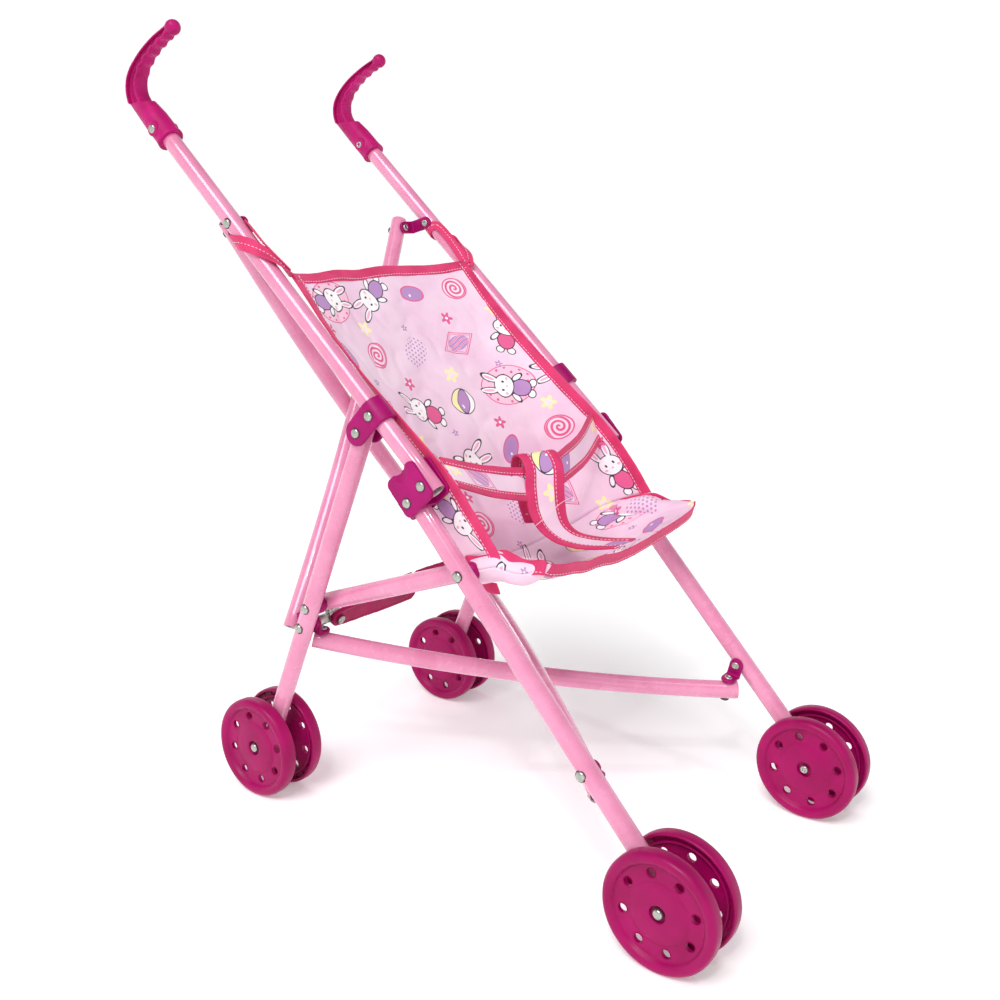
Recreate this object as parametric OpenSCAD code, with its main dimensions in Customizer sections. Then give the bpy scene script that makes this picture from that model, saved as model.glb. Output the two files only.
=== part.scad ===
// Folding umbrella stroller for a doll: crossed-brace tube frame, eight wheels, sling seat.
// The right half is modelled and mirrored. Points in the side plane are [y, z] in mm, with y
// counted rearward from the front axle, and u is a distance outward from the side tubes' plane.

/* [Frame] */
// Distance from the middle to each side tube's axis
half_width = 106; // [104:0.5:110]
// Outside radius of every frame tube
tube_r = 6.35; // [6:0.05:6.4]
// Wall of the frame tubes
tube_wall = 0.9; // [0.5:0.1:1.5]
// Front axle to rear axle
wheelbase = 330.3; // [325:0.1:335]
// Half the distance between the two seat rails
rail_x = 90; // [88:0.5:90]
// Sideways bow of the braces behind the seat, at their middle
back_bow = 7.2; // [7:0.1:8]
// Bow of the braces near the floor, at their middle
floor_bow = 7.0; // [7:0.1:8]

/* [Wheels] */
// Rolling radius
wheel_r = 36; // [34:0.5:36]
// Gap from the leg's axis to the wheel's inner face
wheel_in = 8.2; // [7.8:0.1:8.4]
// Wheel width
wheel_w = 10.3; // [10:0.1:12]
// Small round holes in each wheel
wheel_holes = 8; // [6:1:10]

/* [Fasteners] */
// Radius of every rivet's shank and of the axles
axle_r = 1.8; // [1.5:0.1:1.8]
// Radial clearance of every running pin
fit = 0.05; // [0.03:0.01:0.06]

/* [Seat] */
// Thickness of the sewn sling
cloth_t = 1.6; // [1:0.1:1.8]

/* [Hidden] */
$fn = 24;

axle_y = 212.8;                      // the front axle is this far in front of the origin
W = half_width;

// pivots and joints in the side plane
front_hub = [0, wheel_r];            // front axle
rear_hub = [wheelbase, wheel_r];     // rear axle
handle_foot = [176.2, 252.3];        // handle tube to knuckle
leg_top = [187.6, 239.8];            // front leg to knuckle
leg_rail = [149.7, 198.6];           // seat rail to front leg
leg_brace = [58, 96];                // front bracket on the front leg
collar_hub = [219.3, 291.4];         // collar on the handle tube
rear_top = [230.7, 279.2];           // rear leg to collar
rail_hub = [284.4, 148.5];           // seat rail to rear leg
brace_hub = [291, 133];              // rear brackets and lock arm on the rear leg
link_hub = [350.8, 410.7];           // top link on the handle tube
grip_hub = [423, 476.1];             // grip on the handle tube

// ends of the crossed braces: [y, z] here, and how far from the middle
back_top = [373, 405];
back_foot = [313, 131];
floor_front = [61.5, 79.5];
floor_rear = [291, 118];
back_top_x = 88;
back_foot_x = 95;
floor_x = 90;

handle_a = atan2(grip_hub[1] - handle_foot[1], grip_hub[0] - handle_foot[0]);
front_a = atan2(leg_top[1] - wheel_r, leg_top[0]);
rear_a = atan2(wheel_r - rear_top[1], wheelbase - rear_top[0]);
rail_a = atan2(leg_rail[1] - rail_hub[1], leg_rail[0] - rail_hub[0]);
back_a = atan2(back_foot[1] - back_top[1], back_foot[0] - back_top[0]);
floor_a = atan2(floor_rear[1] - floor_front[1], floor_rear[0] - floor_front[0]);

cheek = 9.2;                         // half thickness of the knuckle
knuckle_in = 8.9;                    // the knuckle's cheek on the inner side
collar_half = 9;                     // half thickness of the collar
slot_half = 6.7;                     // half width of a slot that a tube turns in
plate_low = 7.1;                     // a bracket's plate starts this far from the brace's axis
plate_t = 2.1;                       // thickness of the brackets and their ears
low_gap = 0.4;                       // more room under the low links, whose braces sway as they fold
rail_nose = 20;                      // the seat rails reach this far past the front legs
head_r = 3.2;                        // radius of a rivet's head
arm_x = 76;                          // lock arm's pivot, from the middle
wing_x = 91;                         // inner face of the side wings
pin_n = 16;
tube_n = 28;

function pt3(p, x) = [x, p[0] - axle_y, p[1]];
function go(p, a, d) = p + d * [cos(a), sin(a)];
function unit(v) = v / norm(v);
function across(a) = [-sin(a), cos(a)];

// ---- helpers ----
module at(p, u = 0) translate([W + u, p[0] - axle_y, p[1]]) children();
module pin_x(p, r, u0, u1, n = 24) at(p, u0) rotate([0, 90, 0]) cylinder(h = u1 - u0, r = r, $fn = n);
module hole(p, r = axle_r + fit) pin_x(p, r, -12, 12, pin_n);
module mir() mirror([1, 0, 0]) children();
module steel() color([0.68, 0.68, 0.7]) children();
module pink() color([0.92, 0.6, 0.75]) children();
module magenta() color([0.72, 0.08, 0.45]) children();
module cloth() color([0.96, 0.84, 0.91]) children();

module along(p, q) {
  v = q - p;
  translate(p) rotate([0, acos(v[2] / norm(v)), atan2(v[1], v[0])]) children();
}
module pipe(p, q) along(p, q) difference() {
  cylinder(h = norm(q - p), r = tube_r, $fn = tube_n);
  translate([0, 0, -1]) cylinder(h = norm(q - p) + 2, r = tube_r - tube_wall, $fn = tube_n);
}
module sidepipe(p, q) pipe(pt3(p, W), pt3(q, W));
// bore for a side tube that passes through p at angle a, from d0 to d1 along it
module tube_bore(p, a, d0, d1) along(pt3(go(p, a, d0), W), pt3(go(p, a, d1), W))
  cylinder(h = d1 - d0, r = tube_r + fit, $fn = tube_n);
module dome(r, h) {
  cylinder(h = h / 2, r1 = r, r2 = r * 0.9, $fn = 20);
  translate([0, 0, h / 2]) cylinder(h = h / 2, r1 = r * 0.9, r2 = r * 0.5, $fn = 20);
}
module head_x(p, u, r = head_r) at(p, u) rotate([0, 90, 0]) dome(r, 1.9);
// rivet with its head outside at u1 and its rolled tail inside at u0
module rivet(p, u0, u1, head = head_r, tail = 1.1) {
  pin_x(p, axle_r, u0 - tail, u1 + 0.3, pin_n);
  head_x(p, u1, head);
  at(p, u0 - tail) rotate([0, 90, 0]) cylinder(h = tail, r1 = 2.3, r2 = 2.7, $fn = 20);
}
// outline in the side plane round p, from u0 to u1
module plate_at(p, u0, u1) at(p, u0) rotate([90, 0, 90]) linear_extrude(height = u1 - u0) children();
module slab(pts, u0, u1) plate_at([0, 0], u0, u1) polygon(pts);
// plate with two round ends
module capsule(p, q, r, u0, u1) plate_at(p, u0, u1) union() {
  circle(r = r);
  translate(q - p) circle(r = r);
  rotate(atan2(q[1] - p[1], q[0] - p[0])) translate([0, -0.99 * r]) square([norm(q - p), 1.98 * r]);
}

// ---- handles ----
module handle_tube() difference() {
  sidepipe(go(handle_foot, handle_a, -6.8), go(grip_hub, handle_a, 13));
  for (p = [handle_foot, collar_hub, link_hub, grip_hub]) hole(p);
}
grip_outline = [[438.4, 481.5], [449.5, 490.5], [454, 495.4], [456.6, 501], [457.8, 509.2], [455.6, 516.5],
  [449, 524.2], [439, 531.5], [430, 536.8], [419, 542.6], [408, 549], [404.8, 545], [415.5, 536.4],
  [422.5, 533.3], [429, 529.4], [430.4, 527.2], [436, 523.8], [437.6, 520.8], [443, 515], [443.4, 511],
  [445.2, 506.5], [444, 502.5], [438, 498], [432.5, 495.5], [429.8, 490.9]];
grip_recess = [[450, 498.6], [453.6, 502], [455.4, 509.2], [453.4, 515.6], [447.4, 522.6], [437.8, 529.2],
  [429, 534.4], [419.6, 539], [421.4, 536.4], [431, 531.6], [438.4, 526.2], [445.6, 519],
  [447.6, 514], [448.6, 508], [447.8, 501.5]];
grip_half = 6;
module grip() difference() {
  union() {
    along(pt3(go(grip_hub, handle_a, -10), W), pt3(go(grip_hub, handle_a, 20), W))
      cylinder(h = 27, r = 9, $fn = 32);
    difference() {
      slab(grip_outline, -grip_half, grip_half);
      for (u = [-grip_half - 1, 2.2]) slab(grip_recess, u, u + 4.8);
    }
    translate(pt3([406.6, 547], W)) sphere(r = 6.5, $fn = 24);
    pin_x(grip_hub, 5.2, -9.6, 9.6);
  }
  tube_bore(grip_hub, handle_a, -12, 13);
  hole(grip_hub);
}
module collar() difference() {
  capsule(go(collar_hub, handle_a + 90, 1), rear_top, 8.6, -collar_half, collar_half);
  tube_bore(collar_hub, handle_a, -40, 40);
  // slot for the rear leg's upper end, open below and in front
  plate_at(rear_top, -slot_half, slot_half) union() {
    circle(r = 9.7);
    for (a = [rear_a, rear_a - 33, rear_a - 66]) rotate(a) translate([0, -9.5]) square([40, 19]);
  }
  hole(collar_hub);
  hole(rear_top);
}
module handle_rivets() {
  rivet(grip_hub, -9.6, 9.6);
  rivet(collar_hub, -collar_half, collar_half);
  rivet(rear_top, -collar_half, collar_half);
  rivet(link_hub, -9, tube_r);
}

// ---- front legs ----
module front_leg() difference() {
  sidepipe(go(front_hub, front_a, -8), go(leg_top, front_a, 17));
  for (p = [leg_top, leg_rail, leg_brace, front_hub]) hole(p);
}
// block round the leg's upper end, from a0 to a1 along the leg and b0 to b1 across it
module knuckle_block(a0, a1, b0, b1, r) plate_at(leg_top, -knuckle_in, cheek) rotate(front_a) union() {
  translate([a0, b0 + r]) square([a1 - a0, b1 - b0 - 2 * r]);
  translate([a0 + r, b0]) square([a1 - a0 - 2 * r, b1 - b0]);
  for (a = [a0 + r, a1 - r], b = [b0 + r, b1 - r]) translate([a, b]) circle(r = r);
}
module knuckle() difference() {
  knuckle_block(-8.8, 19.4, -9.2, 21.8, 4.6);
  tube_bore(leg_top, front_a, -30, 50);
  // channel that the handle tube turns in, open above and in front
  plate_at(handle_foot, -slot_half, slot_half) union() {
    circle(r = 9.9);
    for (a = [front_a, handle_a]) rotate(a) translate([-20, -6.9]) square([60, 30]);
  }
  hole(leg_top);
  hole(handle_foot);
}
// ring between a side tube and the seat rail's pivot p, on the tube's line from q
module spacer(p, q, a) difference() {
  pin_x(p, 6, -9.3, -6);
  pin_x(p, axle_r + fit, -12, 0, pin_n);
  tube_bore(q, a, -20, 320);
}
module front_spacer() spacer(leg_rail, front_hub, front_a);
module front_axle() {
  rivet(front_hub, -wheel_in - 7.9, wheel_in + 7.9, head = 3.4);
  for (p = [handle_foot, leg_top]) rivet(p, -knuckle_in, cheek, tail = 0.5);
  rivet(leg_brace, -9.1, tube_r);
  pin_x(leg_rail, axle_r, -9.2, tube_r + 0.3, pin_n);
  head_x(leg_rail, tube_r);
}

// ---- rear legs ----
module rear_leg() difference() {
  sidepipe(go(rear_top, rear_a, -6.2), go(rear_hub, rear_a, 8));
  for (p = [rear_top, rail_hub, brace_hub, rear_hub]) hole(p);
}
module rear_spacer() spacer(rail_hub, rear_top, rear_a);
// the lock arm's own frame: Y along its pin, Z up the rear leg
module arm_frame(x) translate([x, brace_hub[0] - axle_y, brace_hub[1]]) rotate([rear_a + 90, 0, 0]) children();
// axle, rail pin, and the long pin of the rear brackets with the post that holds the lock arm
module rear_axle() {
  rivet(rear_hub, -wheel_in - 7.9, wheel_in + 7.9, head = 3.4);
  rivet(rail_hub, -22.9, tube_r);
  pin_x(brace_hub, axle_r, -12, tube_r + 0.3, pin_n);
  head_x(brace_hub, tube_r);
  difference() {
    union() {
      pin_x(brace_hub, 3.8, -22.6, -11.8);
      arm_frame(W - 34.5) translate([0, -1.3, -4.6]) cube([13, 2.6, 9.2]);
    }
    arm_frame(arm_x) rotate([90, 0, 0]) translate([0, 0, -9]) cylinder(h = 18, r = axle_r, $fn = pin_n);
  }
  arm_frame(arm_x) {
    rotate([90, 0, 0]) translate([0, 0, -7]) cylinder(h = 14, r = axle_r, $fn = pin_n);
    for (s = [-90, 90]) rotate([s, 0, 0]) translate([0, 0, 6.6]) dome(head_r, 1.6);
  }
}

// ---- seat rails ----
module seat_rail() difference() {
  pipe(pt3(go(rail_hub, rail_a, -7.2), rail_x), pt3(go(leg_rail, rail_a, rail_nose), rail_x));
  translate([rail_x - W, 0, 0]) {
    hole(rail_hub);
    hole(leg_rail, axle_r + 1);
  }
}

// ---- braces and their plastic brackets ----
// local frame at q on a brace: Y along the brace at angle a, Z away from it (up = 1) or below (-1)
module brace_frame(q, x, a, up) translate([x, q[0] - axle_y, q[1]]) rotate([a, 0, 0])
  mirror([0, 0, up > 0 ? 0 : 1]) children();
// one ear is riveted beside the leg at p, the plate lies on the brace and is riveted through it at q
module bracket(p, q, x, a, up, ear0, low = plate_low) {
  d = [cos(a), sin(a)];
  e = (p - q) * d;
  f = (p - q) * across(a) * up;
  ear1 = ear0 + plate_t;
  brace_frame(q, W, a, up) difference() {
    union() {
      translate([ear0, e, f]) rotate([0, 90, 0]) cylinder(h = plate_t, r = 5);
      translate([ear0, 0, 0]) rotate([90, 0, 90]) linear_extrude(height = plate_t)
        polygon([[-5, low], [5, low], [e + 5, f], [e - 5, f]]);
      translate([x - W, -5, low]) cube([ear1 - x + W, 10, plate_t]);
      translate([x - W, 0, low]) cylinder(h = plate_t, r = 5);
    }
    translate([ear0 - 1, e, f]) rotate([0, 90, 0])
      cylinder(h = plate_t + 2, r = axle_r + fit, $fn = pin_n);
  }
}
module plate_head(q, x, a, up, low = plate_low) brace_frame(q, x, a, up)
  translate([0, 0, low + plate_t]) dome(3, 1.6);
// the pin that a brace turns on, with its washer on the far side
module brace_pin(q, x, a, up) {
  brace_frame(q, x, a, up) {
    translate([0, 0, -plate_low - 1.5]) cylinder(h = 2 * plate_low + 2, r = axle_r, $fn = pin_n);
    translate([0, 0, -plate_low - 0.9]) cylinder(h = 0.9, r = 2.8, $fn = 20);
  }
  plate_head(q, x, a, up);
}
back_up = cos(back_a + 90) < 0 ? 1 : -1;
inner_ear = -8.8;
module top_link() {
  bracket(link_hub, back_top, back_top_x, back_a, back_up, inner_ear);
  brace_pin(back_top, back_top_x, back_a, back_up);
}
module low_link() {
  low = plate_low + low_gap;
  bracket(brace_hub, back_foot, back_foot_x, back_a, back_up, inner_ear, low);
  plate_head(back_foot, back_foot_x, back_a, back_up, low);
}
module front_bracket() {
  bracket(leg_brace, floor_front, floor_x, floor_a, 1, inner_ear);
  brace_pin(floor_front, floor_x, floor_a, 1);
}
module rear_bracket() {
  bracket(brace_hub, floor_rear, floor_x, floor_a, 1, inner_ear - plate_t - 0.3);
  plate_head(floor_rear, floor_x, floor_a, 1);
}

// a tube bent in one long arc so that two can cross; side is the way it bows, bow how far at the middle
module bent(p, q, side, bow, over0, over1) {
  dip = 0.6;                         // the ends lie this far to the other side
  u = unit(q - p);
  a0 = p - u * over0;
  a1 = q + u * over1;
  half = norm(a1 - a0) / 2;
  rise = bow + dip;
  rr = (half * half + rise * rise) / (2 * rise);
  sweep = asin(half / rr);
  w = cross(side, u);
  o = (a0 + a1) / 2 - side * (dip + rr - rise);
  difference() {
    multmatrix([[side[0], u[0], w[0], o[0]], [side[1], u[1], w[1], o[1]], [side[2], u[2], w[2], o[2]], [0, 0, 0, 1]])
      rotate([0, 0, -sweep]) rotate_extrude(angle = 2 * sweep, $fn = 400) translate([rr, 0]) difference() {
        circle(r = tube_r, $fn = tube_n);
        circle(r = tube_r - tube_wall, $fn = tube_n);
      }
    for (e = [p, q]) along(e - side * 20, e) cylinder(h = 40, r = axle_r + fit, $fn = pin_n);
  }
}
// s is 1 for the brace that starts on the right
module back_brace(s) bent(pt3(back_top, s * back_top_x), pt3(back_foot, -s * back_foot_x),
  -s * [0, -sin(back_a), cos(back_a)], back_bow, 9, 7);
module floor_brace(s) bent(pt3(floor_front, s * floor_x), pt3(floor_rear, -s * floor_x),
  -s * [0, -sin(floor_a), cos(floor_a)], floor_bow, 8, 6);

// ---- lock strut: two plastic arms lapped at the middle ----
arm_outline = [[arm_x, -6.6], [arm_x, 6.6], [70, 7.2], [16, 9.2], [12, 7.6], [8, 9.4],
  [-6, 9.4], [-9, 5], [-9, -6], [-6, -9.4], [20, -9.4], [70, -7.2]];
module lock_arm(s) arm_frame(0) difference() {
  arm_t = 3.4;
  union() {
    translate([0, s > 0 ? 1.6 : -1.6 - arm_t, 0]) rotate([-90, 0, 0]) linear_extrude(height = arm_t) union() {
      polygon([for (p = arm_outline) [s * p[0], p[1]]]);
      translate([s * arm_x, 0]) circle(r = 6.6);
    }
    translate([0, s * (1.6 + arm_t), 0]) rotate([s > 0 ? -90 : 90, 0, 0]) dome(4, 1.6);
  }
  translate([s * arm_x, -10, 0]) rotate([-90, 0, 0]) cylinder(h = 20, r = axle_r + fit, $fn = pin_n);
}

// ---- wheels ----
bore_r = axle_r + 0.06;
wheel_section = [[bore_r, -1.4], [5, -1.4], [5, 4.2], [26.6, 4.2], [28.4, 1], [29.4, 0],
  [wheel_r - 1.6, 0], [wheel_r, 1.8], [wheel_r, wheel_w - 3.4], [wheel_r - 1.2, wheel_w - 1.2],
  [wheel_r - 4, wheel_w], [29.6, wheel_w - 0.9], [27.6, wheel_w - 3.6], [19.6, wheel_w - 3.6],
  [17.5, wheel_w - 2.3], [7, wheel_w - 1.7], [5.2, wheel_w - 2.3], [5.2, wheel_w - 2.8],
  [bore_r, wheel_w - 2.8]];
module wheel(p, inner) at(p, inner ? -wheel_in : wheel_in) rotate([0, inner ? -90 : 90, 0]) difference() {
  rotate_extrude($fn = 40) polygon(wheel_section);
  for (i = [0:wheel_holes - 1]) rotate([0, 0, 360 / wheel_holes * (i + 0.3)])
    translate([23.4, 0, 0]) cylinder(h = 12, r = 2.8, $fn = pin_n);
}

// ---- sling seat ----
// thin solid through four corners of a plane
module panel(pts) {
  n = -cloth_t * unit(cross(pts[1] - pts[0], pts[2] - pts[0]));
  polyhedron(points = concat(pts, [for (p = pts) p + n]),
    faces = [[0, 1, 2, 3], [7, 6, 5, 4], [0, 4, 5, 1], [1, 5, 6, 2], [2, 6, 7, 3], [3, 7, 4, 0]]);
}
module seat_back() panel([pt3([303, 374], -94), pt3([303, 374], 94), pt3([186, 196], 82), pt3([186, 196], -82)]);
module seat_base() panel([pt3([186, 190], -81), pt3([186, 190], 81), pt3([93, 205], 81), pt3([93, 205], -81)]);
module side_wing() slab([[200, 299], [134, 214], [186, 196.5], [232, 240]], wing_x - W, wing_x + cloth_t - W);
module waist_belt() panel([pt3([208, 262], -88), pt3([208, 262], 88), pt3([200, 240], 88), pt3([200, 240], -88)]);
module crotch_strap() panel([pt3([122, 207], -9), pt3([122, 207], 9), pt3([200, 238], 9), pt3([200, 238], -9)]);

pink() handle_tube();  // handle_tube_right
pink() mir() handle_tube();  // handle_tube_left
magenta() grip();  // grip_right
magenta() mir() grip();  // grip_left
magenta() collar();  // collar_right
magenta() mir() collar();  // collar_left
steel() handle_rivets();  // handle_rivets_right
steel() mir() handle_rivets();  // handle_rivets_left
pink() front_leg();  // front_leg_right
pink() mir() front_leg();  // front_leg_left
magenta() knuckle();  // knuckle_right
magenta() mir() knuckle();  // knuckle_left
magenta() front_spacer();  // front_spacer_right
magenta() mir() front_spacer();  // front_spacer_left
steel() front_axle();  // front_axle_right
steel() mir() front_axle();  // front_axle_left
pink() rear_leg();  // rear_leg_right
pink() mir() rear_leg();  // rear_leg_left
magenta() rear_spacer();  // rear_spacer_right
magenta() mir() rear_spacer();  // rear_spacer_left
steel() rear_axle();  // rear_axle_right
steel() mir() rear_axle();  // rear_axle_left
pink() seat_rail();  // seat_rail_right
pink() mir() seat_rail();  // seat_rail_left
magenta() top_link();  // top_link_right
magenta() mir() top_link();  // top_link_left
magenta() low_link();  // low_link_right
magenta() mir() low_link();  // low_link_left
pink() back_brace(1);  // back_brace_right
pink() back_brace(-1);  // back_brace_left
pink() floor_brace(1);  // floor_brace_right
pink() floor_brace(-1);  // floor_brace_left
magenta() front_bracket();  // front_bracket_right
magenta() mir() front_bracket();  // front_bracket_left
magenta() rear_bracket();  // rear_bracket_right
magenta() mir() rear_bracket();  // rear_bracket_left
magenta() lock_arm(1);  // lock_arm_right
magenta() lock_arm(-1);  // lock_arm_left
magenta() wheel(front_hub, false);  // wheel_fr_out
magenta() wheel(front_hub, true);  // wheel_fr_in
magenta() wheel(rear_hub, false);  // wheel_rr_out
magenta() wheel(rear_hub, true);  // wheel_rr_in
magenta() mir() wheel(front_hub, false);  // wheel_fl_out
magenta() mir() wheel(front_hub, true);  // wheel_fl_in
magenta() mir() wheel(rear_hub, false);  // wheel_rl_out
magenta() mir() wheel(rear_hub, true);  // wheel_rl_in
cloth() seat_back();
cloth() seat_base();
cloth() side_wing();  // side_wing_right
cloth() mir() side_wing();  // side_wing_left
cloth() waist_belt();
cloth() crotch_strap();
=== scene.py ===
"""The looks of a doll stroller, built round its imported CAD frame. Shapes are worked out in millimetres,
with y counted rearward from the front axle and z from the floor, and turned into metres at the end."""
from math import asin, atan2, cos, dist, exp, pi, radians, sin, tan

import bmesh
import bpy
import numpy as np
from mathutils import Matrix, Vector, noise


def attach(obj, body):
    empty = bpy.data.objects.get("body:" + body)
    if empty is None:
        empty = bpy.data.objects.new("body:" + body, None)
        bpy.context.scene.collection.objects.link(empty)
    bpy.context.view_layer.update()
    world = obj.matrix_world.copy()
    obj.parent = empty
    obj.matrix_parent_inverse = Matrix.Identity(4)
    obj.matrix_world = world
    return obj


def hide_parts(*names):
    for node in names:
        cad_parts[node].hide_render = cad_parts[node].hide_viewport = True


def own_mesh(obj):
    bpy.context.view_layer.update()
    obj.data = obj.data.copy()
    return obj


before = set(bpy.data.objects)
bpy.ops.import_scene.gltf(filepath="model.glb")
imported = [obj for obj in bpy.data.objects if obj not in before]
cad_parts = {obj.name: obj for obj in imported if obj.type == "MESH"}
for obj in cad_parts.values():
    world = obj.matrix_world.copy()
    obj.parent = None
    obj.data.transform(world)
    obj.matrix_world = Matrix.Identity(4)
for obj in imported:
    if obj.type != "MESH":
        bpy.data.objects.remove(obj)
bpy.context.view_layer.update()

# ---------------------------------------------------------------- sizes shared with the CAD model
AXLE_Y = 212.8
SIDE_X = 106.0
TUBE_R = 6.35
TUBE_WALL = 0.9
RAIL_X = 90.0
WHEEL_R = 36.0
WHEEL_IN = 8.2
WHEEL_W = 10.3
FRONT_HUB = (0.0, 36.0)
REAR_HUB = (330.3, 36.0)
HANDLE_FOOT = (176.2, 252.3)
LEG_TOP = (187.6, 239.8)
LEG_RAIL = (149.7, 198.6)
LEG_BRACE = (58.0, 96.0)
COLLAR_HUB = (219.3, 291.4)
REAR_TOP = (230.7, 279.2)
RAIL_HUB = (284.4, 148.5)
BRACE_HUB = (291.0, 133.0)
LINK_HUB = (350.8, 410.7)
GRIP_HUB = (423.0, 476.1)
BACK_TOP, BACK_TOP_X = (373.0, 405.0), 88.0
BACK_FOOT, BACK_FOOT_X = (313.0, 131.0), 95.0
FLOOR_FRONT, FLOOR_REAR, FLOOR_X = (61.5, 79.5), (291.0, 118.0), 90.0
PLATE_LOW, PLATE_T, EAR = 7.1, 2.1, -8.8
LOW_GAP, RAIL_NOSE = 0.4, 20.0
ARM_X = 76.0
SIDES = (("left", -1), ("right", 1))


def slope(p, q):
    return atan2(q[1] - p[1], q[0] - p[0])


def go(p, angle, d):
    return (p[0] + d * cos(angle), p[1] + d * sin(angle))


HANDLE_A = slope(HANDLE_FOOT, GRIP_HUB)
FRONT_A = slope(FRONT_HUB, LEG_TOP)
REAR_A = slope(REAR_TOP, REAR_HUB)
RAIL_A = slope(RAIL_HUB, LEG_RAIL)
BACK_A = slope(BACK_TOP, BACK_FOOT)
FLOOR_A = slope(FLOOR_FRONT, FLOOR_REAR)


def ahead(angle):
    """The direction at this angle in the side plane."""
    return Vector((0, cos(angle), sin(angle)))


def above(angle):
    """The direction in the side plane a quarter turn on from this angle."""
    return Vector((0, -sin(angle), cos(angle)))


def at(p, x):
    """The point of the side plane p = (y, z), at x, in millimetres in the row frame."""
    return Vector((x, p[0] - AXLE_Y, p[1]))


# ---------------------------------------------------------------- mesh helpers
def spoke(r, turn, height=0.0):
    """The point at radius r and angle turn about the third axis."""
    return Vector((r * cos(turn), r * sin(turn), height))


class Shape:
    """Points in millimetres and faces, each face with a material number, and texture places in metres."""

    def __init__(self):
        self.points, self.faces, self.mats, self.uvs = [], [], [], []

    def grid(self, rows, wrap_u=False, wrap_v=False, mat=0, uv=None, flip=False):
        """Quads over rows of points; wrap_u joins each row's ends, wrap_v joins the last row to the first."""
        first, n, m = len(self.points), len(rows), len(rows[0])
        for row in rows:
            self.points += [Vector(p) for p in row]
        mats = mat if callable(mat) else lambda i, j: mat
        for i in range(n if wrap_v else n - 1):
            for j in range(m if wrap_u else m - 1):
                a, b = i, (i + 1) % n
                c, d = j, (j + 1) % m
                quad = [(a, c), (a, d), (b, d), (b, c)]
                if flip:
                    quad.reverse()
                self.faces.append([first + r * m + s for r, s in quad])
                self.mats.append(mats(i, j))
                self.uvs.append([uv[r][s] if uv else (0, 0) for r, s in quad])
        return self

    def fan(self, ring, centre, mat=0, flip=False):
        """Triangles from a ring of points to its centre."""
        first, m = len(self.points), len(ring)
        self.points += [Vector(p) for p in ring] + [Vector(centre)]
        for j in range(m):
            face = [first + j, first + (j + 1) % m, first + m]
            self.faces.append(face[::-1] if flip else face)
            self.mats.append(mat)
            self.uvs.append([(0, 0)] * 3)
        return self

    def loft(self, rings, uv=None):
        """A closed skin through the rings of points, with a fan at each end."""
        self.grid(rings, wrap_u=True, uv=uv)
        for ring, flip in ((rings[0], True), (rings[-1], False)):
            self.fan(ring, sum(ring, Vector()) / len(ring), flip=flip)
        return self

    def prism(self, outline, place, w0, w1, mat=0):
        """The closed outline, in the first two axes of place, raised along its third from w0 to w1."""
        first, m = len(self.points), len(outline)
        for w in (w0, w1):
            self.points += [place @ Vector((a, b, w)) for a, b in outline]
        quads = [[j, (j + 1) % m, m + (j + 1) % m, m + j] for j in range(m)]
        for face in quads + [list(range(m))[::-1], list(range(m, 2 * m))]:
            self.faces.append([first + k for k in face])
            self.mats.append(mat)
            self.uvs.append([(0, 0)] * len(face))
        return self

    def lathe(self, profile, place, n=48, mat=0, caps=True):
        """Profile points (radius, height) turned about the third axis of place."""
        turn = [2 * pi * k / n for k in range(n)]
        rows = [[place @ spoke(r, t, h) for t in turn] for r, h in profile]
        self.grid(rows, wrap_u=True, mat=mat)
        if caps:
            self.fan(rows[-1], place @ Vector((0, 0, profile[-1][1])), mat=mat)
            self.fan(rows[0], place @ Vector((0, 0, profile[0][1])), mat=mat, flip=True)
        return self

    def add(self, other, mirror=False):
        first = len(self.points)
        flip = Matrix.Scale(-1, 4, (1, 0, 0)) if mirror else Matrix()
        self.points += [flip @ p for p in other.points]
        self.faces += [[first + k for k in (f[::-1] if mirror else f)] for f in other.faces]
        self.mats += other.mats
        self.uvs += [uv[::-1] if mirror else uv for uv in other.uvs]
        return self

    def mirrored(self):
        return Shape().add(self, mirror=True)


def piece(name, shape, materials, body, stands_for=(), crisp=0, merge=0.0):
    """Makes the object, in metres, and lets it ride on its CAD body."""
    mesh = bpy.data.meshes.new(name)
    mesh.from_pydata([p * 0.001 for p in shape.points], [], shape.faces)
    mesh.polygons.foreach_set("material_index", shape.mats)
    layer = mesh.uv_layers.new(name="UVMap")
    layer.data.foreach_set("uv", [c for face in shape.uvs for uv in face for c in uv])
    obj = bpy.data.objects.new(name, mesh)
    bpy.context.scene.collection.objects.link(obj)
    for m in materials:
        mesh.materials.append(m)
    tidy = bmesh.new()
    tidy.from_mesh(mesh)
    if merge:
        bmesh.ops.remove_doubles(tidy, verts=tidy.verts, dist=merge * 0.001)
    bmesh.ops.recalc_face_normals(tidy, faces=tidy.faces)
    tidy.to_mesh(mesh)
    tidy.free()
    mesh.polygons.foreach_set("use_smooth", [True] * len(mesh.polygons))
    if crisp:
        mesh.set_sharp_from_angle(angle=radians(crisp))
    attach(obj, body)
    if stands_for:
        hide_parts(*stands_for)
    return obj


def apply(obj, kind, **settings):
    """Adds a modifier with these settings and applies it at once."""
    modifier = obj.modifiers.new(kind.lower(), kind)
    for key, value in settings.items():
        setattr(modifier, key, value)
    graph = bpy.context.evaluated_depsgraph_get()
    done = obj.evaluated_get(graph)
    mesh = bpy.data.meshes.new_from_object(done, preserve_all_data_layers=True, depsgraph=graph)
    old = obj.data
    obj.modifiers.remove(modifier)
    obj.data = mesh
    bpy.data.meshes.remove(old)
    return obj


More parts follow.
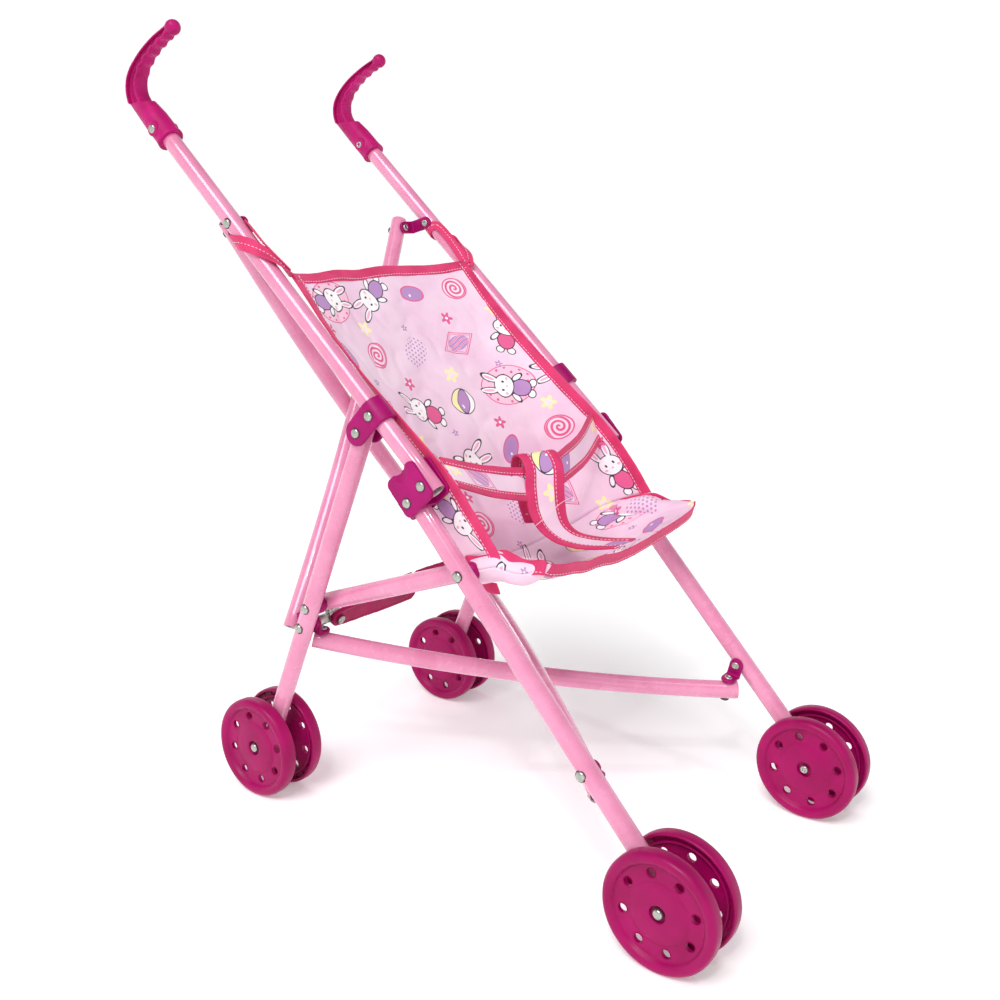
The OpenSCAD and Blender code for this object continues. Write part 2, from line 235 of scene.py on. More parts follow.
def moulded(name, shape, material, body, stands_for=(), voxel=0.45, rounds=5, bend=None):
    """Joins overlapping closed shapes into one moulded plastic piece with soft edges."""
    obj = piece(name, shape, [material], body, stands_for)
    apply(obj, "REMESH", mode="VOXEL", voxel_size=voxel * 0.001, use_smooth_shade=True)
    apply(obj, "SMOOTH", factor=0.5, iterations=rounds)
    if bend:
        for v in obj.data.vertices:
            v.co = bend(v.co * 1000) * 0.001
    obj.data.polygons.foreach_set("use_smooth", [True] * len(obj.data.polygons))
    return obj


def frame_at(origin, first, third):
    """A place with the given first and third axes."""
    third = Vector(third).normalized()
    first = Vector(first)
    first = (first - third * first.dot(third)).normalized()
    second = third.cross(first)
    m = Matrix((first, second, third)).transposed().to_4x4()
    m.translation = Vector(origin)
    return m


def side_place(p, u, angle=0.0, side=1):
    """First axis along the side plane's direction at angle, third axis outward, at u outside the tubes."""
    along = ahead(angle)
    return frame_at(at(p, side * (SIDE_X + u)), along, (side, 0, 0))


def polar(r, degrees):
    return r * cos(radians(degrees)), r * sin(radians(degrees))


def arc(cx, cy, r, a0, a1, n):
    ends = [polar(r, a0 + (a1 - a0) * k / n) for k in range(n + 1)]
    return [(cx + a, cy + b) for a, b in ends]


def around(count):
    """Angles evenly spaced over a full turn."""
    return np.linspace(0, 2 * pi, count, endpoint=False)


def heading(points, k):
    """The direction of a line of points at its point k."""
    return (points[min(k + 1, len(points) - 1)] - points[max(k - 1, 0)]).normalized()


def rounded_box(a0, a1, b0, b1, r):
    """Outline of a rectangle with round corners."""
    return (arc(a1 - r, b1 - r, r, 0, 90, 6) + arc(a0 + r, b1 - r, r, 90, 180, 6)
            + arc(a0 + r, b0 + r, r, 180, 270, 6) + arc(a1 - r, b0 + r, r, 270, 360, 6))


def spline(points, count):
    """A smooth curve through the points, as count places evenly spaced along it."""
    p = [Vector(q) for q in points]
    p = [2 * p[0] - p[1]] + p + [2 * p[-1] - p[-2]]
    fine = []
    steps = 24
    for i in range(1, len(p) - 2):
        for k in range(steps):
            t = k / steps
            a, b, c, d = p[i - 1], p[i], p[i + 1], p[i + 2]
            fine.append(0.5 * (2 * b + (c - a) * t + (2 * a - 5 * b + 4 * c - d) * t * t
                               + (3 * b - a - 3 * c + d) * t ** 3))
    fine.append(p[-2].copy())
    lengths = [0.0]
    for a, b in zip(fine, fine[1:]):
        lengths.append(lengths[-1] + (b - a).length)
    table = np.array([list(q) for q in fine])
    want = np.linspace(0, lengths[-1], count)
    return [Vector(q) for q in np.stack([np.interp(want, lengths, table[:, k]) for k in range(3)], 1)]


# ---------------------------------------------------------------- materials
def rgb(r, g, b):
    """Linear colour of an 8-bit sRGB one."""
    linear = [((c / 255 + 0.055) / 1.055) ** 2.4 if c > 10 else c / 255 / 12.92 for c in (r, g, b)]
    return (*linear, 1.0)


class Nodes:
    """A material's node tree, with short ways to add nodes."""

    def __init__(self, name):
        self.material = bpy.data.materials.new(name)
        self.material.use_nodes = True
        self.tree = self.material.node_tree
        self.shader = self.tree.nodes["Principled BSDF"]

    def put(self, kind, inputs=None, **settings):
        node = self.tree.nodes.new(kind)
        for key, value in settings.items():
            setattr(node, key, value)
        for key, value in (inputs or {}).items():
            self.set(node.inputs[key], value)
        return node

    def set(self, socket, value):
        if isinstance(value, bpy.types.NodeSocket):
            self.tree.links.new(value, socket)
        elif isinstance(value, Num):
            self.tree.links.new(value.socket, socket)
        else:
            socket.default_value = value

    def finish(self, **inputs):
        names = {"base": "Base Color", "rough": "Roughness", "metal": "Metallic", "coat": "Coat Weight",
                 "coat_rough": "Coat Roughness", "normal": "Normal", "sheen": "Sheen Weight",
                 "spec": "Specular IOR Level"}
        for key, value in inputs.items():
            self.set(self.shader.inputs[names[key]], value)
        return self.material

    def place(self):
        return self.put("ShaderNodeTexCoord").outputs["Object"]

    def noise(self, where, scale, detail=3.0, rough=0.5):
        node = self.put("ShaderNodeTexNoise", {"Vector": where, "Scale": scale, "Detail": detail,
                                               "Roughness": rough})
        return node.outputs["Fac"]

    def ramp(self, factor, low, high, start=0.35, end=0.65):
        node = self.put("ShaderNodeMapRange", {"Value": factor, "From Min": start, "From Max": end,
                                               "To Min": low, "To Max": high})
        return node.outputs["Result"]

    def mix(self, factor, a, b):
        node = self.put("ShaderNodeMix", data_type="RGBA")
        self.set(node.inputs[0], factor)
        self.set(node.inputs[6], a)
        self.set(node.inputs[7], b)
        return node.outputs[2]

    def bump(self, height, strength, distance, normal=None):
        node = self.put("ShaderNodeBump", {"Height": height, "Strength": strength, "Distance": distance})
        if normal is not None:
            self.set(node.inputs["Normal"], normal)
        return node.outputs["Normal"]


class Num:
    """A number worked out by math nodes, so that a pattern reads as a formula."""

    def __init__(self, nodes, socket):
        self.nodes, self.socket = nodes, socket

    def math(self, operation, *others, clamp=False):
        node = self.nodes.put("ShaderNodeMath", operation=operation, use_clamp=clamp)
        for k, value in enumerate((self, *others)):
            self.nodes.set(node.inputs[k], value)
        return Num(self.nodes, node.outputs[0])

    def __add__(self, other):
        return self.math("ADD", other)

    def __sub__(self, other):
        return self.math("SUBTRACT", other)

    def __mul__(self, other):
        return self.math("MULTIPLY", other)

    def low(self, other):
        return self.math("MINIMUM", other)

    def high(self, other):
        return self.math("MAXIMUM", other)

    def inside(self, blur=0.12):
        """1 where a distance is negative, 0 outside, with an edge this soft."""
        return self.math("MULTIPLY_ADD", -1 / blur, 0.5, clamp=True)


def pink_paint():
    """Glossy pink paint on steel tube: a hard clear skin with a faint orange peel and cloudy colour."""
    n = Nodes("pink_paint")
    where = n.place()
    cloud = n.noise(where, 38.0, 4.0)
    speck = n.noise(where, 900.0, 2.0)
    base = n.mix(n.ramp(cloud, 0, 1), rgb(219, 130, 167), rgb(229, 146, 181))
    base = n.mix(n.ramp(speck, 0.0, 0.12, 0.62, 0.8), base, rgb(212, 116, 158))
    rough = n.ramp(n.noise(where, 140.0), 0.2, 0.3)
    skin = n.bump(n.noise(where, 260.0, 2.0), 0.012, 0.0004)
    return n.finish(base=base, rough=rough, coat=0.8, coat_rough=0.04, normal=skin)


def bare_tube():
    n = Nodes("bare_tube")
    where = n.place()
    base = n.mix(n.noise(where, 160.0, 5.0), rgb(190, 165, 172), rgb(224, 208, 212))
    return n.finish(base=base, rough=n.ramp(n.noise(where, 300.0), 0.3, 0.5), metal=0.8)


def steel():
    """Zinc-plated rivets, a little green and dull, with a finely dented skin."""
    n = Nodes("plated_steel")
    where = n.place()
    base = n.mix(n.noise(where, 500.0, 4.0), rgb(150, 156, 148), rgb(206, 210, 200))
    rough = n.ramp(n.noise(where, 900.0), 0.22, 0.42)
    dent = n.bump(n.noise(where, 700.0, 3.0), 0.25, 0.0003)
    return n.finish(base=base, rough=rough, metal=1.0, normal=dent)


# Painted shade: a dark pink-brown that stands in for the shadow in the gap round rivet heads and in the
# hollow of their rolled ends.
def painted_rivet_shade():
    n = Nodes("rivet_shadow")
    base = n.mix(n.noise(n.place(), 400.0), rgb(48, 22, 34), rgb(84, 34, 56))
    return n.finish(base=base, rough=0.7)


def plastic(name, light, dark, rough_low, rough_high, grain=1500.0, grain_strength=0.12):
    """Moulded magenta plastic: cloudy colour, fine grain and a soft shine."""
    n = Nodes(name)
    where = n.place()
    base = n.mix(n.ramp(n.noise(where, 45.0, 4.0), 0, 1, 0.3, 0.7), light, dark)
    rough = n.ramp(n.noise(where, 120.0, 4.0), rough_low, rough_high)
    skin = n.bump(n.noise(where, grain, 2.0), grain_strength, 0.0002)
    skin = n.bump(n.noise(where, 60.0, 2.0), 0.08, 0.0008, skin)
    return n.finish(base=base, rough=rough, spec=0.2, normal=skin)


def thread():
    n = Nodes("white_thread")
    base = n.mix(n.noise(n.place(), 1200.0), rgb(250, 240, 245), rgb(226, 200, 214))
    return n.finish(base=base, rough=0.8, sheen=0.3)


def binding_tape():
    """Woven hot-pink tape, with ribs across it every 0.9 mm and worn, dustier patches."""
    n = Nodes("binding_tape")
    uv = n.put("ShaderNodeUVMap").outputs["UV"]
    along = n.put("ShaderNodeSeparateXYZ", {"Vector": uv}).outputs["X"]
    rib = Num(n, along).math("MULTIPLY", 2 * pi / 0.0009).math("SINE")
    where = n.place()
    shade = n.noise(where, 70.0, 4.0)
    base = n.mix(n.ramp(shade, 0, 1), rgb(206, 34, 96), rgb(224, 54, 114))
    base = n.mix(rib.math("MULTIPLY_ADD", 0.07, 0.07), base, rgb(180, 18, 76))
    ribs = n.bump(rib, 0.25, 0.0002)
    crush = n.bump(n.noise(where, 160.0, 3.0), 0.3, 0.0009, ribs)
    return n.finish(base=base, rough=n.ramp(shade, 0.6, 0.8), sheen=0.12, normal=crush)


# ---------------------------------------------------------------- the printed cloth
CELL = 47.0
MOTIF = 1.22
INK = rgb(58, 44, 62)
WHITE = rgb(252, 248, 250)
PINK = rgb(226, 92, 146)
PALE_PINK = rgb(246, 178, 208)
LILAC = rgb(184, 140, 196)
YELLOW = rgb(250, 240, 172)


def union(shapes):
    out = shapes[0]
    for other in shapes[1:]:
        out = out.low(other)
    return out


class Print:
    """Draws motifs on the cloth: every motif is a few ellipses and bands in its own cell, in millimetres."""

    def __init__(self, nodes, ground):
        self.n, self.colour = nodes, ground

    def lattice(self, cell, shift_x, shift_y, kinds, step_i, step_j, seed):
        """Cuts the cloth into cells, rows set off by half a cell, and turns each cell's own axes."""
        n = self.n
        parts = n.put("ShaderNodeSeparateXYZ", {"Vector": n.put("ShaderNodeUVMap").outputs["UV"]})
        u = Num(n, parts.outputs["X"]).math("MULTIPLY_ADD", 1000 / cell, shift_x)
        v = Num(n, parts.outputs["Y"]).math("MULTIPLY_ADD", 1000 / cell, shift_y)
        j = v.math("FLOOR")
        u = u + j * 0.5
        i = u.math("FLOOR")
        spot = n.put("ShaderNodeCombineXYZ", {"X": i, "Y": j, "Z": seed})
        chance = n.put("ShaderNodeTexWhiteNoise", {"Vector": spot.outputs[0]}, noise_dimensions="3D")
        x = (u.math("FRACT") - 0.5) * (cell / MOTIF)
        y = (v.math("FRACT") - 0.5) * (cell / MOTIF)
        flat = n.put("ShaderNodeCombineXYZ", {"X": x, "Y": y})
        angle = Num(n, chance.outputs["Value"]) * (2 * pi)
        turned = n.put("ShaderNodeVectorRotate", {"Vector": flat.outputs[0], "Angle": angle},
                       rotation_type="Z_AXIS")
        self.p = turned.outputs[0]
        kind = (i * step_i + j * step_j).math("FLOORED_MODULO", kinds)
        self.kinds = [kind.math("COMPARE", k, 0.5) for k in range(kinds)]

    def axes(self):
        parts = self.n.put("ShaderNodeSeparateXYZ", {"Vector": self.p})
        return Num(self.n, parts.outputs["X"]), Num(self.n, parts.outputs["Y"])

    def oval(self, x, y, rx, ry, turn=0.0):
        """Distance to an ellipse, less than 0 inside."""
        n = self.n
        moved = n.put("ShaderNodeMapping", {"Vector": self.p, "Location": (x, y, 0),
                                            "Rotation": (0, 0, radians(turn)), "Scale": (rx, ry, 1)},
                      vector_type="TEXTURE")
        size = n.put("ShaderNodeVectorMath", {0: moved.outputs[0]}, operation="LENGTH")
        return Num(n, size.outputs["Value"]).math("MULTIPLY_ADD", min(rx, ry), -min(rx, ry))

    def paint(self, kind, distance, colour, blur=0.14):
        self.colour = self.n.mix(distance.inside(blur) * kind, self.colour, colour)

    def outlined(self, kind, distance, colour, ink=INK, line=0.32):
        self.paint(kind, distance - line, ink)
        self.paint(kind, distance + line, colour)

    def bunny(self, kind, dress):
        ears = [self.oval(-4.6, 13.0, 2.3, 6.6, 10), self.oval(4.8, 12.6, 2.3, 6.4, -14)]
        paws = [self.oval(-7.0, -6.5, 1.8, 4.0, -38), self.oval(7.0, -6.0, 1.8, 4.0, 44),
                self.oval(-3.6, -16.6, 2.7, 2.4), self.oval(3.8, -16.4, 2.7, 2.4)]
        self.outlined(kind, union(paws), WHITE)
        self.outlined(kind, self.oval(0, -9.2, 5.6, 6.6), dress)
        self.outlined(kind, union(ears + [self.oval(0, 2.6, 8.0, 6.6)]), WHITE)
        self.paint(kind, union([self.oval(-3.0, 3.4, 0.75, 1.0), self.oval(3.0, 3.4, 0.75, 1.0)]), INK)
        self.paint(kind, union([self.oval(0, 0.6, 0.9, 0.6), self.oval(-5.2, 0.8, 1.2, 0.8),
                                self.oval(5.2, 0.8, 1.2, 0.8), self.oval(-4.6, 13.4, 0.9, 4.2, 10),
                                self.oval(4.8, 13.0, 0.9, 4.0, -14)]), PALE_PINK)

    def dots(self, step, radius):
        """Distance to the nearest of many small dots."""
        x, y = self.axes()
        j = (y * (1 / step)).math("FLOOR")
        a = ((x * (1 / step) + j * 0.5).math("FRACT") - 0.5) * step
        b = ((y * (1 / step)).math("FRACT") - 0.5) * step
        return (a * a + b * b).math("SQRT") - radius

    def petals(self, x0, y0, size, count, depth):
        x, y = self.axes()
        x, y = x - x0, y - y0
        reach = (x * x + y * y).math("SQRT")
        wave = (y.math("ARCTAN2", x) * count).math("COSINE")
        return reach - wave.math("MULTIPLY_ADD", size * depth, size)

    def spiral(self, kind):
        x, y = self.axes()
        reach = (x * x + y * y).math("SQRT")
        turn = y.math("ARCTAN2", x) * (1 / (2 * pi))
        band = ((reach * (1 / 3.3) - turn).math("FRACT") - 0.5).math("ABSOLUTE") - 0.25
        egg = self.oval(0, 0, 9.4, 8.0)
        self.outlined(kind, egg, rgb(250, 222, 234), PINK, 0.45)
        self.paint(kind, (band * 3.3).high(egg + 0.6), PINK)

    def diamond(self, kind):
        x, y = self.axes()
        edge = (x.math("ABSOLUTE") * 0.8 + y.math("ABSOLUTE") * 0.55) - 7.6
        self.paint(kind, edge.math("ABSOLUTE") - 0.32, PINK)
        self.paint(kind, (edge + 1.2).math("ABSOLUTE") - 0.2, PINK)
        wavy = x + (y * 0.35).math("SINE") * 0.7
        stripe = ((wavy * (1 / 2.9)).math("FRACT") - 0.5).math("ABSOLUTE") * 2.9
        inner = self.oval(0, 0, 5.0, 8.4)
        self.paint(kind, (stripe - 0.8).high(inner), LILAC)
        self.paint(kind, (stripe.math("MULTIPLY_ADD", -1, 1.15)).high(inner), PINK)

    def ball(self, kind):
        whole = self.oval(0, 0, 8.6, 8.6)
        self.outlined(kind, whole, WHITE, line=0.3)
        self.paint(kind, self.oval(0, 5.2, 8.4, 5.0).high(whole + 0.5), YELLOW)
        belt = self.oval(0, -0.4, 8.2, 4.4).high(whole + 0.35)
        self.outlined(kind, belt, LILAC, line=0.22)
        self.paint(kind, self.oval(-3.6, 0.6, 1.5, 0.7, 20), WHITE)

    def draw(self):
        self.lattice(CELL, 0.5, 0.0, 8, 3, 7, 1.0)
        k = self.kinds
        # an oval patch with dots behind some of the bunnies
        patch = self.oval(1, 0, 13.5, 18.5, 18)
        self.outlined(k[3], patch, rgb(248, 198, 220), PINK, 0.3)
        self.paint(k[3], self.dots(5.2, 0.95).high(patch + 1.0), PINK)
        self.bunny(k[3] + k[6], LILAC)
        self.bunny(k[5], PINK)
        self.spiral(k[4])
        self.diamond(k[2])
        self.ball(k[0])
        self.paint(k[7], self.dots(2.7, 0.72).high(self.oval(0, 0, 8.5, 11.5)), LILAC, 0.2)
        bean = self.oval(0, 0, 5.4, 9.6)
        self.outlined(k[1], bean, LILAC, PINK, 0.4)
        self.paint(k[1], self.oval(1.4, -2.6, 0.9, 0.9), WHITE)
        self.lattice(CELL, 0.98, 0.52, 3, 1, 1, 7.0)
        s = self.kinds
        self.paint(s[0], self.petals(0, 0, 3.4, 5, 0.36), PINK)
        self.paint(s[0], self.oval(0, 0, 1.0, 1.0), WHITE)
        self.paint(s[1], self.petals(0, 0, 4.2, 5, 0.3), YELLOW)
        self.paint(s[1], self.petals(0, 0, 2.2, 5, 0.3), rgb(250, 226, 236))
        self.paint(s[2], self.petals(2, 1, 1.9, 5, 0.4), LILAC)
        self.paint(s[2], self.oval(2, 1, 0.6, 0.6), YELLOW)
        return self.colour


def printed_cloth():
    """Thin pale pink cloth with a cloudy ground, a fine weave, and a print of small toys and rabbits."""
    n = Nodes("printed_cloth")
    where = n.place()
    uv = n.put("ShaderNodeUVMap").outputs["UV"]
    cloud = n.ramp(n.noise(where, 24.0, 4.0), 0, 1)
    ground = n.mix(cloud, rgb(244, 216, 233), rgb(236, 198, 222))
    colour = Print(n, ground).draw()
    parts = n.put("ShaderNodeSeparateXYZ", {"Vector": uv})
    weave = 2 * pi / 0.00062
    warp = Num(n, parts.outputs["X"]).math("MULTIPLY", weave).math("SINE")
    weft = Num(n, parts.outputs["Y"]).math("MULTIPLY", weave).math("SINE")
    fine = n.bump(warp * weft, 0.12, 0.0001)
    rumple = n.bump(n.noise(where, 55.0, 5.0, 0.6), 0.35, 0.0022, fine)
    return n.finish(base=colour, rough=0.72, sheen=0.1, normal=rumple)


PAINT, BARE, STEEL, RIVET_SHADE = pink_paint(), bare_tube(), steel(), painted_rivet_shade()
SHINY = plastic("wheel_plastic", rgb(166, 3, 94), rgb(144, 2, 78), 0.3, 0.44)
MAGENTA = plastic("fitting_plastic", rgb(172, 4, 108), rgb(142, 3, 86), 0.34, 0.5)
GRIP = plastic("grip_plastic", rgb(194, 18, 116), rgb(162, 8, 90), 0.4, 0.55, 1100.0, 0.1)
ARM = plastic("arm_plastic", rgb(168, 12, 84), rgb(140, 8, 68), 0.34, 0.5)
TAPE, THREAD, CLOTH = binding_tape(), thread(), printed_cloth()


# ---------------------------------------------------------------- tubes
def pipe(place_at, length, stations, n=48):
    """A hollow tube; place_at(d) gives its centre line's frame d millimetres along."""
    lip, near, bore = 0.3, 0.08, TUBE_R - TUBE_WALL
    outer = [(d, TUBE_R) for d in np.linspace(lip, length - lip, stations)]
    ring = outer + [(length - near, TUBE_R - near), (length, TUBE_R - lip), (length, bore + 0.2),
                    (length - 0.2, bore)]
    ring += [(d, bore) for d in np.linspace(length - 2, 2, stations)]
    ring += [(0.2, bore), (0, bore + 0.2), (0, TUBE_R - lip), (near, TUBE_R - near)]
    turn = [2 * pi * k / n for k in range(n)]
    rows = []
    for d, r in ring:
        m = place_at(d)
        rows.append([m @ spoke(r, t) for t in turn])
    inner = range(len(outer) + 1, len(ring) - 2)
    return Shape().grid(rows, wrap_u=True, wrap_v=True, mat=lambda i, j: int(i in inner))


def straight(p, q):
    axis = (q - p).normalized()
    start = frame_at(p, (0, axis.z, -axis.y), axis)
    return pipe(lambda d: start @ Matrix.Translation((0, 0, d)), (q - p).length, 9)


def bowed(p, q, side, bow, over0, over1):
    """The same long arc as in the CAD model, for tubes that cross."""
    dip = 0.6
    u = (q - p).normalized()
    a0, a1 = p - u * over0, q + u * over1
    half, rise = (a1 - a0).length / 2, bow + dip
    radius = (half * half + rise * rise) / (2 * rise)
    sweep = asin(half / radius)
    centre = (a0 + a1) / 2 - side * (dip + radius - rise)

    def place(d):
        t = -sweep + d / radius
        out = side * cos(t) + u * sin(t)
        return frame_at(centre + out * radius, out, u * cos(t) - side * sin(t))

    return pipe(place, 2 * sweep * radius, 40)


def tube_piece(name, shape, body):
    return piece(name, shape, [PAINT, BARE], body, [name])


def tubes():
    for n, s in SIDES:
        # name, body, first hub and how far the tube starts past it, last hub and how far it ends past it, x
        for name, body, p, before, q, after, angle, x in (
                ("handle_tube", "handle", HANDLE_FOOT, -6.8, GRIP_HUB, 13, HANDLE_A, SIDE_X),
                ("front_leg", "front_leg", FRONT_HUB, -8, LEG_TOP, 17, FRONT_A, SIDE_X),
                ("rear_leg", "rear_leg", REAR_TOP, -6.2, REAR_HUB, 8, REAR_A, SIDE_X),
                ("seat_rail", "seat_rail", RAIL_HUB, -7.2, LEG_RAIL, RAIL_NOSE, RAIL_A, RAIL_X)):
            shape = straight(at(go(p, angle, before), s * x), at(go(q, angle, after), s * x))
            tube_piece(f"{name}_{n}", shape, f"{body}_{n}")
        # a brace crosses from this side at p to the other at q, bowed away from its partner
        for name, p, x0, q, x1, angle, bow, before, after in (
                ("back_brace", BACK_TOP, BACK_TOP_X, BACK_FOOT, BACK_FOOT_X, BACK_A, 7.2, 9, 7),
                ("floor_brace", FLOOR_FRONT, FLOOR_X, FLOOR_REAR, FLOOR_X, FLOOR_A, 7.0, 8, 6)):
            out = above(angle) * -s
            shape = bowed(at(p, s * x0), at(q, -s * x1), out, bow, before, after)
            tube_piece(f"{name}_{n}", shape, f"{name}_{n}")


# ---------------------------------------------------------------- rivets
SHANK_R = 1.8
ON_TUBE = TUBE_R - 0.2


def head(shape, place, r=3.2, h=1.9):
    """A domed rivet head standing on a ring of painted shade, for the dark gap round its rim."""
    dome = [(r, 0.0), (r * 1.01, 0.25)]
    for a in range(8, 90, 10):
        dome.append((polar(r, a)[0], 0.35 + polar(h - 0.35, a)[1]))
    shape.lathe(dome, place, 32)
    # a thin ring of painted shade round the head's rim
    ring = [(r + 0.1, -0.15), (r + 0.55, -0.1), (r + 0.5, 0.16), (r - 0.1, 0.2)]
    shape.lathe(ring, place, 32, mat=1, caps=False)


def tail(shape, place, h=1.1):
    """The hollow rolled end of a rivet, with a disc of painted shade down in its hole."""
    s = h / 1.1
    shape.lathe([(2.75, 0), (2.8, 0.35 * s), (2.5, 0.8 * s), (2.0, 1.05 * s), (1.5, 1.0 * s), (1.15, 0.7 * s),
                 (1.0, 0.1 * s), (0.95, -1.2)], place, 28)
    # a disc of painted shade closing the hole
    shape.lathe([(0.94, -0.9), (0.4, -0.92)], place, 20, mat=1)


def rivet(shape, p, u0, u1, side, r=3.2, tail_h=1.1):
    """A rivet through the side frame at p: head at u1 outside, rolled end at u0 inside."""
    head(shape, side_place(p, u1, 0, side), r)
    inner = side_place(p, u0, 0, side) @ Matrix.Rotation(pi, 4, "X")
    tail(shape, inner, tail_h)
    shape.lathe([(SHANK_R, u0 - 0.2), (SHANK_R, u1 + 0.2)], side_place(p, 0, 0, side), 24)


def arm_place(x):
    """The lock arm's frame: second axis along its pin, third up the rear leg."""
    a = REAR_A + pi / 2
    return Matrix.Translation(at(BRACE_HUB, x)) @ Matrix.Rotation(a, 4, "X")


def rivets():
    for n, s in SIDES:
        handle = Shape()
        rivet(handle, GRIP_HUB, -9.6, 9.6, s)
        rivet(handle, COLLAR_HUB, -9, 9, s)
        rivet(handle, REAR_TOP, -9, 9, s)
        rivet(handle, LINK_HUB, -9, ON_TUBE, s)
        piece(f"handle_rivets_{n}", handle, [STEEL, RIVET_SHADE], f"handle_{n}", [f"handle_rivets_{n}"])
        front = Shape()
        rivet(front, FRONT_HUB, -16.2, 15.8, s, 3.1)
        for p in (HANDLE_FOOT, LEG_TOP):
            rivet(front, p, -8.9, 9.1, s, tail_h=0.5)
        rivet(front, LEG_BRACE, -9.1, ON_TUBE, s)
        head(front, side_place(LEG_RAIL, ON_TUBE, 0, s))
        front.lathe([(SHANK_R, -9.2), (SHANK_R, TUBE_R)], side_place(LEG_RAIL, 0, 0, s), 24)
        piece(f"front_axle_{n}", front, [STEEL, RIVET_SHADE], f"front_leg_{n}", [f"front_axle_{n}"])
        rear = Shape()
        rivet(rear, REAR_HUB, -16.2, 15.8, s, 3.1)
        rivet(rear, RAIL_HUB, -22.9, ON_TUBE, s)
        head(rear, side_place(BRACE_HUB, ON_TUBE, 0, s))
        hub = side_place(BRACE_HUB, 0, 0, s)
        rear.lathe([(SHANK_R, -12), (SHANK_R, TUBE_R)], hub, 24)
        rear.lathe([(3.0, -22.6), (3.8, -22.2), (3.8, -12.2), (3.4, -11.8)], hub, 32)
        tongue = arm_place(s * ARM_X) @ Matrix.Rotation(pi / 2, 4, "X")
        rear.prism(rounded_box(-4.5, 8.5, -4.4, 4.4, 2.0), tongue @ Matrix.Scale(s, 4, (1, 0, 0)), -1.3, 1.3)
        rear.lathe([(SHANK_R, -6.9), (SHANK_R, 6.9)], tongue, 24)
        for flip in (0, pi):
            head(rear, tongue @ Matrix.Rotation(flip, 4, "X") @ Matrix.Translation((0, 0, 6.5)), 3.2, 1.6)
        piece(f"rear_axle_{n}", rear, [STEEL, RIVET_SHADE], f"rear_leg_{n}", [f"rear_axle_{n}"])


# ---------------------------------------------------------------- wheels
HOLE_R, HOLE_AT, HOLES = 2.8, 23.4, 8
DISC_IN, DISC_OUT = 19.6, 27.2
ARC_STEPS, SIDE_STEPS = 14, 7
RIBS, RIB_HALF = 24, 0.45


def hole_patch(shape, sector, z_face, lip, flip):
    """One sector of the disc between two circles, with a round hole; lip raises the hole's edge.
    Returns the ring of points at the hole."""
    half = pi / HOLES
    mid = (sector + 0.3) * 2 * half
    web = DISC_OUT - DISC_IN

    rim = [spoke(DISC_OUT, mid + half * (2 * k / ARC_STEPS - 1)) for k in range(ARC_STEPS)]
    rim += [spoke(DISC_OUT - web * k / SIDE_STEPS, mid + half) for k in range(SIDE_STEPS)]
    rim += [spoke(DISC_IN, mid + half * (1 - 2 * k / ARC_STEPS)) for k in range(ARC_STEPS)]
    rim += [spoke(DISC_IN + web * k / SIDE_STEPS, mid - half) for k in range(SIDE_STEPS)]
    centre = spoke(HOLE_AT, mid)
    rows = []
    # share of the way from the hole to the sector's edge, distance from the hole, height
    for share, gap, z in ((1, 0, 0), (0.5, 1.4, 0), (0.15, 0.95, 0), (0, 0.75, lip * 0.4), (0, 0.45, lip),
                          (0, 0.2, lip * 0.9), (0, 0.0, -0.1)):
        row = []
        for p in rim:
            out = (p - centre).normalized()
            edge = centre + out * (HOLE_R + gap)
            q = edge.lerp(p, share) if share else edge
            row.append(Vector((q.x, q.y, z_face + (z if not flip else -z))))
        rows.append(row)
    shape.grid(rows, wrap_u=True, flip=flip)
    return rows[-1]


def wheel_shape():
    """The wheel about its own third axis, the outer face up: a fat round rim, a sunk disc with eight
    holes, a shallow dome and a hub, and behind them a hollow back with a rib ring."""
    face, back = WHEEL_W - 3.4, WHEEL_W - 5.8
    n = HOLES * ARC_STEPS
    turn0 = 2 * pi / HOLES * 0.3 - pi / HOLES

    def ring(r, z):
        turn = [turn0 + 2 * pi * k / n for k in range(n)]
        return [spoke(r, t, z) for t in turn]

    shape = Shape()
    tread = WHEEL_R
    rim = [(DISC_OUT, face), (27.8, face + 0.05), (28.3, face + 0.5), (28.9, face + 1.6), (29.8, face + 2.5),
           (31.2, WHEEL_W - 0.15), (32.6, WHEEL_W), (33.9, WHEEL_W - 0.35), (35.0, WHEEL_W - 1.2),
           (35.7, WHEEL_W - 2.4), (tread, WHEEL_W - 4.0), (tread, 3.0), (tread - 0.1, 1.2),
           (tread - 0.5, 0.35), (tread - 1.1, 0.0), (34.2, 0.05), (33.8, 0.5), (33.6, 2.0), (33.3, back),
           (30.4, back), (30.2, 2.4), (30.0, 2.2), (29.2, 2.2), (29.0, 2.4), (28.8, back), (DISC_OUT, back)]
    shape.grid([ring(r, z) for r, z in rim], wrap_u=True, flip=True)
    dome = [(DISC_IN, face), (19.0, face + 0.08), (18.4, face + 0.45), (17.6, face + 0.75), (14, face + 1.15),
            (10, face + 1.45), (6.4, face + 1.6), (5.5, face + 1.5), (5.15, face + 1.1), (5.1, face - 0.9),
            (1.95, face - 0.9), (1.95, -1.3), (4.4, -1.4), (5.0, -1.0), (5.2, 2.0), (5.4, back - 0.4),
            (6.2, back), (DISC_IN, back)]
    shape.grid([ring(r, z) for r, z in dome], wrap_u=True)
    for k in range(HOLES):
        front = hole_patch(shape, k, face, 0.35, True)
        rear = hole_patch(shape, k, back, 0.0, False)
        shape.grid([front, rear], wrap_u=True, flip=True)
    # ribs between the rim and the rib ring, on the leg's side
    rib = [(30.0, -RIB_HALF), (33.8, -RIB_HALF), (33.8, RIB_HALF), (30.0, RIB_HALF)]
    for k in range(RIBS):
        shape.prism(rib, Matrix.Rotation(2 * pi * (k + 0.5) / RIBS, 4, "Z"), 3.9, back + 0.2)
    return shape


